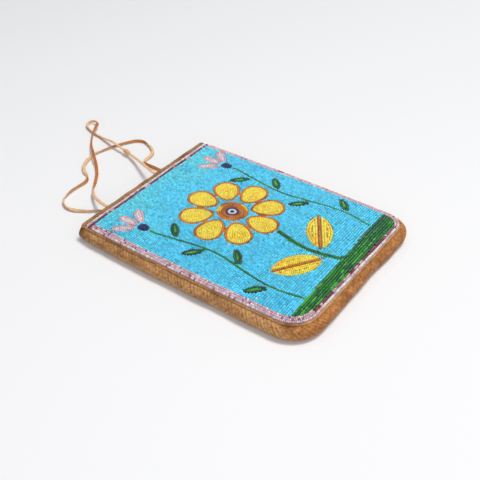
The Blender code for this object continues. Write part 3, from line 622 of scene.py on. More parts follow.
def makeThong(name, route, twist, node):
    line, length = smoothRoute(route, thong["step"])
    rings, faceShade = stripRings(line, twist, thong)
    rings[..., 2] += max(0.0, thong["floorGap"] - rings[..., 2].min())
    mesh = loft(name, rings)
    giveAttribute(mesh, "shadedFace", faceShade)
    return placePiece(name, mesh, materials["hide"], "buckskin", node), line, length


sleeve = {
    "reach": 5,             # steps of the thong's line that it covers on each side of its middle
    "rings": 29,
    "around": 20,
    "halfWidth": 0.0026,
    "halfHeight": 0.0019,
    # lumps: height, how many round the sleeve, and how they wind along it
    "lumps": ((0.16, 3, 9), (0.1, 5, -17)),
    "ends": (0.30, 0.70, 0.45),     # size at its ends, how much it grows, and the power of the sine
    "folds": 2.2,           # how strongly the lumps change the shade
    "shade": 0.7,
    "endShade": 0.4,
}


def makeSplice(line, setting):
    # The slit end wrapped round the other length: a lumpy sleeve, thick in its middle
    low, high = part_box("thong_splice")
    middle = np.array([(low.x + high.x) / 2, (low.y + high.y) / 2])
    nearest = int(np.argmin(np.linalg.norm(line[:, :2] - middle, axis=1)))
    span = line[nearest - setting["reach"]:nearest + setting["reach"] + 1]
    share = np.linspace(0, 1, setting["rings"])
    centre = readAt(share * (len(span) - 1), np.arange(len(span)), span)
    side, up = sideAndUp(centre)
    turns = circle(setting["around"])
    lump = 1
    for height, number, wind in setting["lumps"]:
        lump = lump + height * np.sin(number * turns[None, :] + wind * share[:, None])
    least, grow, power = setting["ends"]
    swell = (least + grow * np.sin(math.pi * np.clip(share, 0.02, 0.98)) ** power)[:, None]
    wide, tall = setting["halfWidth"] * swell * lump, setting["halfHeight"] * swell * lump
    rings = (centre[:, None] + side[:, None] * (wide * np.cos(turns))[..., None]
             + up[:, None] * (tall * np.sin(turns))[..., None])
    mesh = loft("thongSplice", rings)
    # Painted shade: the sleeve is darker in the folds between its lumps
    folds = np.clip(0.5 + setting["folds"] * (1 - lump), 0, 1)
    giveAttribute(mesh, "shadedFace", folds * setting["shade"], setting["endShade"])
    return placePiece("thongSplice", mesh, materials["hide"], "buckskin", "thong_splice")


frontThong, frontLine, frontLength = makeThong("thongFront", thong["frontRoute"], thong["frontTwist"],
                                               "thong_front")
backThong, backLine, backLength = makeThong("thongBack", thong["backRoute"], thong["backTwist"],
                                            "thong_back")
splice = makeSplice(frontLine, sleeve)
print("thongs laid, metres:", round(frontLength, 4), round(backLength, 4))


# The front panel's cloth and its edge

canvasLow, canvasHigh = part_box("front_canvas")
hemLow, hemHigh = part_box("front_hem")
skyLow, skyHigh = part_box("sky_field")
groundLow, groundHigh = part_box("ground_field")
bottomBorderLow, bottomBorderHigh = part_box("border_bottom")
panel = {
    "clothThickness": 0.0010,
    "seam": canvasLow.z + 0.0010,       # height of the cloth along its edge
    "halfWidth": canvasHigh.x,
    "bottomY": canvasLow.y,
    "mouthY": hemHigh.y,
    "rowPitch": 0.0023,
    "leftRows": 3,
    "otherRows": 2,
    "groundRise": 0.0050,               # how much higher the green strip stands at the right
    "edgeStep": 0.0005,
    "edgeWindow": 13,                   # steps over which its outline is smoothed
    "mouthZone": 0.0020,                # depth of the straight end of the outline at the mouth
    "mouthInset": 0.0013,               # from the edge to the first bead of the mouth's rows
}
panel["crown"] = canvasHigh.z - panel["seam"]


def clothTop(x, y):
    # Height of the cloth: level along the edges, arched by crown (1 - x^2)(1 - y^2) in the middle
    across = np.clip(1 - (x / panel["halfWidth"]) ** 2, 0, 1)
    along = np.clip(1 - (y / panel["mouthY"]) ** 2, 0, 1)
    return panel["seam"] + panel["crown"] * across * along


def planPoints(name):
    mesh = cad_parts[name].data
    points = np.zeros(len(mesh.vertices) * 3, np.float32)
    mesh.vertices.foreach_get("co", points)
    return points.reshape(-1, 3)[:, :2].astype(float)


def evenly(path, spacing, closed=False):
    # Points at even steps along a path, with the path's direction at each
    path = np.vstack([path, path[:1]]) if closed else path
    run = runAlong(path)
    count = max(round(run[-1] / spacing), 1)
    at = (np.arange(count) + 0.5) * run[-1] / count
    near = spacing * 0.3
    ahead = readAt(at + near, run, path) - readAt(at - near, run, path)
    return readAt(at, run, path), unit(ahead, 1e-12)


def hullOf(name):
    # The outline of a node's hull seen from above, with the node on its left
    points = planPoints(name)
    ring = points[convex_hull_2d([tuple(p) for p in points])]
    area = np.sum(ring[:, 0] * np.roll(ring[:, 1], -1) - np.roll(ring[:, 0], -1) * ring[:, 1])
    return ring[::-1] if area < 0 else ring


def panelEdge():
    # The hull of the cloth, opened at the mouth: down the left side, round the bottom, up the right
    ring = hullOf("front_canvas")
    top = ring[:, 1].max() - panel["mouthZone"]
    corners = np.where(ring[:, 1] > top)[0]
    path = np.roll(ring, -corners[np.argmin(ring[corners, 0])], axis=0)
    last = np.where(path[:, 1] > top)[0]
    path = path[:last[path[last, 0] > 0].min() + 1]
    path[0, 1] = path[-1, 1] = panel["mouthY"]
    fine = evenly(path, panel["edgeStep"])[0]
    return np.stack([smoothed(column, panel["edgeWindow"], mode="reflect", reflect_type="odd")
                     for column in fine.T], 1)


def inset(path, depth):
    # Each point moved to the left of the path, on the edge inwards
    return path + leftOf(unit(np.gradient(path, axis=0))) * depth


def between(pair, share):
    # A value between two, by a share
    return pair[0] + (pair[1] - pair[0]) * share


def wavesOf(points, *parts):
    # A sum of noises, each with its share, the length of its waves and its seed
    return sum(share * waves(points, size, seed) for share, size, seed in parts)


def standUp(path, ahead, out, z):
    # Rings of points across a path: out is their distance to its right, z their height
    return np.concatenate([path[:, None] - leftOf(ahead)[:, None] * out[..., None], z[..., None]], -1)


edge = panelEdge()


# Corduroy: a wall swept round three sides, and the flat back

corduroy = {
    "wallPitch": 0.0034,        # one wale, along the wall
    "waleHeight": (0.00028, 0.00052),   # along the sides, and at the corners
    "waleLean": (0.70, 1.00),   # how far a wale runs along the wall for each metre down it, and
                                # how far at the corners
    "samplesPerWale": 8,
    "sectionPoints": 17,
    "thickness": 0.0013,
    "rimAngle": 70.0,
    "rimTuck": 0.0010,
    "rimShare": 0.14,           # of the drop, over which the wales fade out at the turned-in rim
    "reach": (0.0050, 0.0034),  # how far the wall stands out from the edge, and how far at the mouth
    "mouthTaper": 0.0200,
    "mouthPull": 0.4,           # how much less it bulges at the mouth
    "cornerSpan": 0.05,         # how far the bottom corners are felt along the wall
    "slack": 0.0007,            # how far the soft wall swells and sinks along its run
    "slackWaves": ((1, 0.055, 11), (0.2, 0.02, 12)),
    "slackFade": (0.04, 0.96),  # part of a sine over the drop that holds the slack at rim and foot
    "belly": 0.0014,            # how far it bulges at half its drop, and how much more at the corners
    "cornerBelly": 0.0012,
    "lip": 0.0012,              # at each end, over which the cloth thins to this share of itself
    "lipThin": 0.45,
    "bottomZone": 0.012,        # height of the part of the edge that counts as the bottom
    "bottomWindow": 41,
    "rubbed": 0.7,              # how much lower the wales are along the bottom
    "backPitch": 0.0027,
    "backColumns": 16,
    "backInset": 0.0041,        # from the edge to the wall's foot, where the back starts
    "creases": (                # share of the bottom wall, share of the drop, length, bow, depth
        (0.30, 0.30, 0.0080, 20.0, 0.0005),
        (0.52, 0.34, 0.0090, -18.0, 0.0006),
        (0.80, 0.46, 0.0100, 14.0, 0.0004),
    ),
    "creaseWidth": 0.0012,
    "creaseShade": 700,
    # waleCrest, the shade between valleys and crests: its mean, its contrast on the sides, and how
    # much more at the corners and less along the bottom, the painted shade at the foot, and its noise
    "shade": (0.58, 0.34, 0.40, 0.26, 1.6),
    "shadeWaves": ((0.20, 0.009, 13), (0.20, 0.004, 16)),
    # share of wear and painted shade: its mean, more at the mouth's corners, more at the foot as painted
    # shade, more along the bottom, its noise
    "worn": (0.34, 0.95, 0.35, 0.15),
    "wornWaves": (0.45, 0.03, 14),
    "wornSpan": 0.030,
    "warmRight": 0.35,          # warmth of the right side, the bottom having 1
}


def wallSection(setting, rimHeight, reach):
    # Offset outwards and height along the wall, from the rim down to the floor: an arc stretched to
    # the wall's reach and height
    turn = np.linspace(math.radians(setting["rimAngle"]), -math.pi / 2, setting["sectionPoints"])
    tuck = setting["rimTuck"]
    start = math.cos(turn[0])
    swing = (np.cos(turn) - start) / (1 - start)
    out = -tuck + (reach[:, None] + tuck) * swing[None, :]
    z = rimHeight / (1 + math.sin(turn[0])) * (1 + np.sin(turn))
    return out, np.broadcast_to(z, out.shape)


def makeWall(setting):
    length = np.linalg.norm(np.diff(edge, axis=0), axis=1).sum()
    path, ahead = evenly(edge, setting["wallPitch"] / setting["samplesPerWale"])
    run = (np.arange(len(path)) + 0.5) * length / len(path)
    near = np.clip((path[:, 1] - panel["mouthY"] + setting["mouthTaper"]) / setting["mouthTaper"], 0, 1)
    near = near * near * (3 - 2 * near)
    out, z = wallSection(setting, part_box("pouch_back")[1].z, between(setting["reach"], near))
    steps = [np.diff(part, axis=1, prepend=part[:, :1]) for part in (out, z)]
    drop = np.cumsum(np.hypot(*steps), axis=1)
    share = drop / drop[:, -1:]
    turned = np.exp(-((np.abs(path[:, 0]) - panel["halfWidth"]) / setting["cornerSpan"]) ** 2
                    - ((path[:, 1] - panel["bottomY"]) / setting["cornerSpan"]) ** 2)
    lean = between(setting["waleLean"], turned)
    crest = np.sin(math.pi * (run[:, None] - lean[:, None] * drop) / setting["wallPitch"]) ** 2
    flat = np.stack([run[:, None] + 0 * drop, drop * 3], -1)
    soft = setting["slack"] * wavesOf(flat, *setting["slackWaves"])
    soft = soft * np.sin(np.linspace(*setting["slackFade"], out.shape[1]) * math.pi) ** 0.5
    # Down the left side the cloth is tan, along the bottom warmer and rubbed smooth
    lowest = path[:, 1] < panel["bottomY"] + setting["bottomZone"]
    window = setting["bottomWindow"]
    bottom = np.convolve(np.pad(lowest.astype(float), window // 2, mode="edge"), np.ones(window) / window,
                         mode="valid")
    height = between(setting["waleHeight"], turned) * (1 - setting["rubbed"] * bottom)
    rim = np.clip(share / setting["rimShare"], 0, 1)
    belly = (setting["belly"] + setting["cornerBelly"] * turned) * (1 - setting["mouthPull"] * near)
    grow = (crest - 1) * height[:, None] * rim + soft + np.sin(math.pi * share) ** 1.5 * belly[:, None]
    # The cut edge at the mouth is turned in: there the cloth thins like a quarter circle
    fromEnd = np.clip(np.minimum(run, length - run) / setting["lip"], 0, 1)
    thinner = (1 - np.sqrt(1 - (1 - fromEnd) ** 2))[:, None] * setting["thickness"] * setting["lipThin"]
    first, last = run[np.argmax(lowest)], run[len(lowest) - 1 - np.argmax(lowest[::-1])]
    pinch = 0 * drop
    for where, part, reachAlong, bow, depth in setting["creases"]:
        away = run[:, None] - (first + (last - first) * where)
        line = drop - part * drop[:, -1:] - bow * away ** 2
        pinch += depth * np.exp(-(line / setting["creaseWidth"]) ** 2 - (away / reachAlong) ** 2)
    grow = grow - pinch
    # The section's own normal, from the slope of the arc
    dOut, dZ = np.gradient(out, axis=1), np.gradient(z, axis=1)
    size = np.hypot(dOut, dZ)
    nOut, nZ = -dZ / size, dOut / size
    outerOut, outerZ = out + nOut * (grow - thinner), z + nZ * (grow - thinner)
    depth = setting["thickness"] - thinner - soft * 0.8
    innerOut, innerZ = (out - nOut * depth)[:, ::-2], (z - nZ * depth)[:, ::-2]
    allOut = np.concatenate([outerOut, innerOut], 1)
    allZ = np.maximum(np.concatenate([outerZ, innerZ], 1), 0.00005)
    rings = standUp(path, ahead, allOut, allZ)
    mesh = loft("corduroyWall", rings[:, ::-1], innerOut.shape[1])
    mean, contrast, atCorner, atBottom, foot = setting["shade"]
    sharp = (contrast + atCorner * turned - atBottom * bottom)[:, None] * rim
    # Painted shade: the tone is darker in the creases and towards the foot, where the wall meets the floor
    crestAndPaintedShade = (mean + sharp * (crest - 0.5) - pinch * setting["creaseShade"] - foot * share ** 8
              + wavesOf(flat, *setting["shadeWaves"]))
    mean, atCorner, foot, atBottom = setting["worn"]
    corner = atCorner * np.exp(-((path[:, 1] - panel["mouthY"]) / setting["wornSpan"]) ** 2)
    # Painted shade: the wear share grows towards the foot, darkening the wall's lower part
    worn = mean + (corner + atBottom * bottom)[:, None] + foot * share ** 3
    worn = np.clip(worn + wavesOf(flat, setting["wornWaves"]), 0.05, 1)
    right = (path[:, 0] > 0) & ~lowest
    warm = np.clip(bottom + setting["warmRight"] * right, 0, 1)[:, None] + 0 * drop
    for label, outside, inside in (("waleCrest", crestAndPaintedShade, 0.5), ("wearAndShadeShare", worn, 0.2),
                                   ("warmShare", warm, 0.0)):
        value = np.concatenate([outside, np.full(innerOut.shape, inside)], 1)
        giveAttribute(mesh, label, value[:, ::-1])
    placePiece("corduroyWall", mesh, materials["wall"], "corduroy", "pouch_back")


def makeBack(setting):
    # A slab between the wall's feet: rows across it carry the wales of its underside
    foot = inset(edge, setting["backInset"])
    lowest = int(np.argmin(foot[:, 1]))
    lowY, highY = foot[lowest, 1] + 0.0001, panel["mouthY"]
    rows = round((highY - lowY) / setting["backPitch"] * setting["samplesPerWale"])
    y = np.linspace(lowY, highY, rows)
    left = np.interp(y, foot[:lowest + 1, 1][::-1], foot[:lowest + 1, 0][::-1])
    right = np.interp(y, foot[lowest:, 1], foot[lowest:, 0])
    share = np.linspace(0, 1, setting["backColumns"] + 1)
    x = left[:, None] + (right - left)[:, None] * share
    crest = np.sin(math.pi * y / setting["backPitch"]) ** 2
    yy = y[:, None] + 0 * x
    under = np.stack([x, yy, (1 - crest)[:, None] * setting["waleHeight"][0] + 0 * x], -1)
    over = np.stack([x, yy, setting["thickness"] + 0 * x], -1)
    mesh = loft("corduroyBack", np.concatenate([under, over[:, ::-1]], 1))
    worn = 0.35 + 0.3 * waves(np.stack([x, yy], -1), 0.06, 15)
    giveAttribute(mesh, "waleCrest", np.concatenate([crest[:, None] + 0 * x, 0.5 + 0 * x], 1))
    giveAttribute(mesh, "wearAndShadeShare", np.concatenate([worn, worn[:, ::-1]], 1))
    placePiece("corduroyBack", mesh, materials["back"], "corduroy", "pouch_back")


seamRoll = {
    "radius": 0.00090,
    "uneven": (0.12, 0.014, 17),    # how much it varies, over what length, and the seed
    "out": 0.00010,             # its middle line, outside the cloth's edge
    "drop": 0.00085,            # and below the cloth's top
    "step": 0.00051,
    "leftOut": 5,               # steps at each end, where the hem covers it
    "around": 10,
    "crest": (0.65, (0.25, 0.010, 19)),     # mean of each attribute, and its noise
    "worn": (0.45, (0.4, 0.03, 18)),
}


def makeSeamRoll(setting):
    # The corduroy's edge turned in and sewn to the cloth: a small roll along three sides, a circle
    # carried along the edge
    path, ahead = (part[setting["leftOut"]:-setting["leftOut"]] for part in evenly(edge, setting["step"]))
    turn = circle(setting["around"])
    radius = setting["radius"] * (1 + wavesOf(path, setting["uneven"]))
    out = setting["out"] + radius[:, None] * np.cos(turn)
    z = panel["seam"] - setting["drop"] + radius[:, None] * np.sin(turn)
    mesh = loft("seamRoll", standUp(path, ahead, out, z))
    for label, (mean, noise) in (("waleCrest", setting["crest"]), ("wearAndShadeShare", setting["worn"])):
        giveAttribute(mesh, label, np.clip(mean + wavesOf(path, noise), 0, 1)[:, None] + 0 * out)
    placePiece("seamRoll", mesh, materials["wall"], "corduroy", "pouch_back")


makeWall(corduroy)
makeBack(corduroy)
makeSeamRoll(seamRoll)
print("corduroy wall, back and seam made")


# Hems at the mouth

hem = {
    "width": 0.0056,
    "thickness": 0.0009,
    "gap": 0.0003,
    "step": 0.00045,
    "flatPoints": 9,            # across each flat side of the folded strip
    "bendPoints": 9,
    "walePitch": 0.0026,
    "waleHeight": 0.00022,
    "walePower": 0.8,
    "waleLean": 0.35,           # how far a wale runs along the hem for each metre across it
    "slack": (0.0003, 0.016, 23),
    "stitchPitch": 0.0042,
    "stitchLength": 0.0021,
    "stitchRadius": 0.00026,
    "stitchLine": 0.0009,       # from the strip's inner edge to the stitches
    "stitchSpan": 0.0011,       # how far from their line the stitches draw the cloth in
    "stitchRings": 7,
    "stitchAround": 6,
    "pucker": 0.00028,
    "thinEdge": 0.0006,         # along the inner edge, where the wales fade
    "endTaper": 0.0022,
    "cornerReach": 0.0045,      # at each end, where the folded edge draws back and sinks
    "cornerPull": 0.0020,
    "cornerSink": 0.0008,
    "overhang": 0.0016,         # how far the strip runs on past the cloth at each end
    "turnedAround": 30,         # points round the back hem, the powers of its section, its wales' lean
    "turnedPowers": (0.3, 0.7),
    "turnedLean": 0.2,
    "turnedSwell": (0.10, 0.02, 31),
}


def makeFrontHem(setting):
    # A strip folded over the cloth's edge: an open U carried along the mouth, with wales across it
    end = edge[-1, 0] + setting["overhang"]
    x = np.linspace(-end, end, round(2 * end / setting["step"]) + 1)
    wide, side = setting["width"], setting["flatPoints"]
    grip = panel["clothThickness"] / 2 + setting["gap"]
    outer = grip + setting["thickness"]
    flat = np.linspace(-wide, -outer, side)
    bend = np.linspace(math.pi / 2, -math.pi / 2, setting["bendPoints"] + 2)[1:-1]
    dy = np.concatenate([flat, -outer + outer * np.cos(bend), flat[::-1]])
    dz = np.concatenate([np.full(side, outer), outer * np.sin(bend), np.full(side, -outer)])
    normalY = np.concatenate([np.zeros(side), np.cos(bend), np.zeros(side)])
    normalZ = np.concatenate([np.ones(side), np.sin(bend), -np.ones(side)])
    run = runAlong(np.stack([dy, dz], 1))
    phase = (x[:, None] + setting["waleLean"] * run) / setting["walePitch"]
    crest = np.abs(np.sin(math.pi * phase)) ** setting["walePower"]
    away = (dy + wide - setting["stitchLine"]) / setting["stitchSpan"]
    stitched = np.exp(-away ** 2) * (normalZ > 0.5)
    pinch = np.cos(2 * math.pi * x / setting["stitchPitch"])[:, None] * 0.5 + 0.5
    place = np.stack([x[:, None] + 0 * run, 0 * x[:, None] + run], -1)
    grow = (crest - 1) * setting["waleHeight"] - setting["pucker"] * pinch * stitched
    grow = grow + wavesOf(place, setting["slack"])
    grow = grow * np.clip(np.abs(dy + wide) / setting["thinEdge"], 0.25, 1)
    iy = np.concatenate([flat[::2], -outer + grip * np.cos(bend[::-2]), flat[::-2]])
    iz = np.concatenate([np.full(len(flat[::2]), -grip), grip * np.sin(bend[::-2]),
                         np.full(len(flat[::2]), grip)])
    sy = np.concatenate([dy + normalY * grow, np.broadcast_to(iy, (len(x), len(iy)))], 1)
    sz = np.concatenate([dz + normalZ * grow, np.broadcast_to(iz, (len(x), len(iz)))], 1)
    # Towards its two ends the strip flattens like a quarter circle
    inner = np.clip((end - np.abs(x)) / setting["endTaper"], 0.01, 1)
    sz = sz * np.sqrt(1 - (1 - inner) ** 2)[:, None]
    rings = np.stack([x[:, None] + 0 * sy, panel["mouthY"] + sy, hemMiddle(x)[:, None] + sz], -1)
    # At its two ends the folded edge draws back towards the bag and sinks
    corner = np.clip(1 - (end - np.abs(x)) / setting["cornerReach"], 0, 1) ** 2
    rings[..., 1] -= (setting["cornerPull"] * corner)[:, None] * (sy / wide + 1)
    rings[..., 2] -= (setting["cornerSink"] * corner)[:, None]
    mesh = loft("foldedHem", rings, len(dy))
    worn = 0.55 + 0.35 * waves(np.stack([x, 0 * x], -1), 0.03, 24) + 0.3 * (np.abs(x) / hemHigh.x) ** 6
    giveAttribute(mesh, "waleCrest", np.concatenate([crest, np.full((len(x), len(iy)), 0.4)], 1))
    giveAttribute(mesh, "wearAndShadeShare", np.clip(worn, 0, 1)[:, None] + 0 * sy)
    placePiece("foldedHem", mesh, materials["hem"], "hem_cloth", "front_hem")
    return outer


def hemMiddle(x):
    # Height of the cloth's middle under the folded strip
    return clothTop(x, panel["mouthY"] - hem["width"] / 2) - panel["clothThickness"] / 2


def makeBackHem(setting):
    # The back's own edge turned in: a soft flat strip, |cos|^0.3 by |sin|^0.7 in section
    low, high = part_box("back_hem")
    x = np.arange(low.x, high.x, setting["step"])
    turn = circle(setting["turnedAround"])
    flatPower, edgePower = setting["turnedPowers"]
    across = rounded(np.cos(turn), flatPower) * (high.y - low.y) / 2
    through = rounded(np.sin(turn), edgePower) * (high.z - low.z) / 2
    phase = (x[:, None] + setting["turnedLean"] * across) / setting["walePitch"]
    crest = np.abs(np.sin(math.pi * phase)) ** setting["walePower"]
    place = np.stack([x[:, None] + 0 * across, 0 * x[:, None] + across], -1)
    swell = 1 + wavesOf(place, setting["turnedSwell"])
    z = (low.z + high.z) / 2 + through * swell - (1 - crest) * setting["waleHeight"] * np.sign(through)
    y = (low.y + high.y) / 2 + 0 * z + across
    mesh = loft("turnedHem", np.stack([x[:, None] + 0 * z, y, z], -1)[:, ::-1])
    giveAttribute(mesh, "waleCrest", crest[:, ::-1], 0.4)
    giveAttribute(mesh, "wearAndShadeShare", np.full(crest.shape, 0.5))
    placePiece("turnedHem", mesh, materials["hem"], "hem_cloth", "back_hem")


def makeStitches(setting, outer):
    # Short slanted stitches over the hem's inner edge: each is an arched tube, a sine over its length
    count = int((hemHigh.x - hemLow.x) / setting["stitchPitch"])
    x = hemLow.x + setting["stitchPitch"] * (np.arange(count) + 0.5) + chance.normal(0, 0.0003, count)
    lean = chance.normal(0.5, 0.15, count)
    share = np.linspace(0, 1, setting["stitchRings"])
    turn = circle(setting["stitchAround"])
    along = (share - 0.5) * setting["stitchLength"]
    rise = setting["stitchRadius"] * (2.2 * np.sin(math.pi * share) - 0.9)
    thick = setting["stitchRadius"] * (0.45 + 0.55 * np.sin(math.pi * np.clip(share, 0.05, 0.95)))
    px = (x[:, None, None] + along[None, :, None] * lean[:, None, None]
          + (thick[:, None] * np.cos(turn))[None])
    py = panel["mouthY"] - setting["width"] + setting["stitchLine"] + along[None, :, None] + 0 * px
    top = hemMiddle(x) + outer
    pz = top[:, None, None] - 0.0001 + rise[None, :, None] + (thick[:, None] * np.sin(turn))[None]
    points = np.stack([px, py, pz], -1)
    ends = np.stack([points[:, 0].mean(1), points[:, -1].mean(1)], 1)
    mesh = repeatedMesh("hemStitches", np.concatenate([points.reshape(count, -1, 3), ends], 1),
                        *loftFaces(len(share), len(turn)))
    placePiece("hemStitches", mesh, materials["thread"], "hem_cloth")


hemOuter = makeFrontHem(hem)
makeBackHem(hem)
makeStitches(hem, hemOuter)
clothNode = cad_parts["front_canvas"]
clothNode.data.materials.clear()
clothNode.data.materials.append(materials["canvas"])
print("hems and stitches made")


# Beads

bead = {
    "spacing": 0.00166,         # along a row
    "radius": 0.00117,
    "halfLength": 0.00077,
    "mouthOfHole": 0.60,        # radius at a bead's ends, as a share of its radius
    "shoulder": 0.55,           # where the full radius starts, as a share of the half length
    "dimple": 0.72,             # how deep the ends' middles lie, as a share of the half length
    "around": 8,
    "nesting": 0.80,            # how close a straight row's bead comes to a motif's, 1 being contact
    "fillers": (0.92, 0.66),    # sizes of the single beads that close the gaps which are left
    "limit": 2900,              # most beads in one piece
    "wander": ((0.00022, 0.05, 3), (0.00022, 0.035, 4)),    # of hand-sewn rows, along x and along y
    "turn": 0.045,              # spread of a bead's turn in its row, in radians
    "shift": 0.00006,           # spread of its place
    "radiusSpread": (0.035, -0.08, 0.08),       # spread and limits of its radius, as shares
    "lengthSpread": (0.06, -0.14, 0.12),        # and of its length
    "rise": 0.92,               # height of its middle over the cloth, in radii
    "riseSpread": 0.00004,
    "tilt": 0.05,               # spread of its tilt
    "slopeReach": 0.001,        # on each side of it, where the cloth's slope is read
    "paintedUnderShade": (0.88, 0.12, 0.75, 0.9),       # painted shade next to the cloth, and how it clears upwards
    "endShade": 0.94,
    "holeShade": 0.6,
}


def beadTemplate(setting):
    # A barrel along x of unit radius and half length: four rings and the sunk middles of its ends
    turn = circle(setting["around"]) + 0.2
    along = np.array([-1, -setting["shoulder"], setting["shoulder"], 1])
    radius = np.array([setting["mouthOfHole"], 1, 1, setting["mouthOfHole"]])
    ring = np.stack([np.zeros_like(turn), np.cos(turn), np.sin(turn)], -1)
    rings = ring[None] * radius[:, None, None]
    rings[..., 0] = along[:, None]
    ends = np.array([[-setting["dimple"], 0, 0], [setting["dimple"], 0, 0]])
    quads, tris = loftFaces(len(along), setting["around"])
    return np.concatenate([rings.reshape(-1, 3), ends]), quads, tris


beadPoints, beadQuads, beadTris = beadTemplate(bead)
beadwork = {}       # piece: slot, nodes that it replaces, rows of (points, directions, colours, size)


def sew(name, slotName, replaced, rows):
    beadwork[name] = (slotName, replaced, rows)


def gathered(rows):
    # All beads of some rows: points, directions, colours and sizes
    points, ahead, colours = (np.concatenate([row[i] for row in rows]) for i in range(3))
    return points, ahead, colours, np.concatenate([np.full(len(row[0]), row[3]) for row in rows])


def drawn(spread, count):
    # Shares near 1 for that many beads, spread like a bell and cut off at both limits
    width, low, high = spread
    return 1 + np.clip(chance.normal(0, width, count), low, high)


def strungBeads(name, slotName, replaced, rows):
    # Each bead is the template turned along its row, set on the cloth and varied a little; pieces
    # stay under the limit of beads
    points, ahead, colours, size = gathered(rows)
    points = points + np.stack([wavesOf(points, part) for part in bead["wander"]], -1)
    count = len(points)
    yaw = chance.normal(0, bead["turn"], count)
    ahead = ahead * np.cos(yaw)[:, None] + leftOf(ahead) * np.sin(yaw)[:, None]
    points = points + chance.normal(0, bead["shift"], (count, 2))
    radius = bead["radius"] * size * drawn(bead["radiusSpread"], count)
    half = bead["halfLength"] * drawn(bead["lengthSpread"], count)
    x, y = points.T
    level = clothTop(x, y) + radius * bead["rise"] + chance.normal(0, bead["riseSpread"], count)
    reach = bead["slopeReach"]
    up = np.stack([clothTop(x - reach, y) - clothTop(x + reach, y),
                   clothTop(x, y - reach) - clothTop(x, y + reach), np.full(count, 2 * reach)], -1)
    up = unit(up + chance.normal(0, bead["tilt"], (count, 3)) * 2 * reach)
    axis = np.concatenate([ahead, np.zeros((count, 1))], 1)
    axis = unit(axis - up * np.sum(axis * up, 1)[:, None])
    side = np.cross(up, axis)
    centre = np.concatenate([points, level[:, None]], 1)
    # Painted shade: a bead is darker on its lower half, next to the cloth and the thread, and at its ends
    least, clear, start, span = bead["paintedUnderShade"]
    shade = least + clear * np.clip((beadPoints[:, 2] + start) / span, 0, 1)
    ends = np.where(np.abs(beadPoints[:, 0]) < 0.9, 1.0, bead["endShade"])
    ends[-2:] = bead["holeShade"]
    shade = shade * ends
    pieces = math.ceil(count / bead["limit"])
    for number, chosen in enumerate(np.array_split(np.arange(count), pieces)):
        t = beadPoints[None]
        placed = (centre[chosen, None] + axis[chosen, None] * t[..., :1] * half[chosen, None, None]
                  + side[chosen, None] * t[..., 1:2] * radius[chosen, None, None]
                  + up[chosen, None] * t[..., 2:] * radius[chosen, None, None])
        label = name if pieces == 1 else f"{name}{number + 1}"
        mesh = repeatedMesh(label, placed, beadQuads, beadTris)
        giveAttribute(mesh, "beadColour", (colours[chosen, None] * shade[None, :, None]).reshape(-1, 3))
        placePiece(label, mesh, materials["beads"], slotName, *replaced)
    return count


def varied(colour, count, spread=0.07):
    # One colour for each bead, lighter or darker by about the spread
    return np.asarray(colour)[None] * (1 + np.clip(chance.normal(0, spread, (count, 1)), -0.3, 0.35))


def mixed(palette, shares, count, runLength=1.0):
    # Beads drawn from a palette in short runs of like colour
    picks = chance.choice(len(palette), count, p=np.array(shares) / sum(shares))
    keep = chance.random(count) > 1 / runLength
    source = np.maximum.accumulate(np.where(keep, 0, np.arange(count)))
    chosen = np.array(palette)[picks[source]]
    return chosen * (1 + np.clip(chance.normal(0, 0.08, (count, 1)), -0.25, 0.3))


beadColours = {
    "sky": linear(92, 222, 255),
    "turquoise": linear(108, 228, 240),
    "deepSky": linear(44, 198, 250),
    "white": linear(236, 236, 238),
    "yellow": linear(255, 236, 84),
    "amber": linear(255, 216, 62),
    "orange": linear(214, 128, 34),
    "rust": linear(180, 96, 26),
    "navy": linear(22, 36, 102),
    "green": linear(24, 128, 40),
    "lightGreen": linear(72, 178, 66),
    "leaf": linear(14, 96, 60),
    "darkLeaf": linear(10, 60, 50),
    "pink": linear(226, 180, 184),
    "lilac": linear(208, 186, 208),
    "mauve": linear(156, 98, 118),
    "blush": linear(238, 214, 222),
    "maroon": linear(126, 36, 66),
    "purple": linear(112, 62, 140),
}

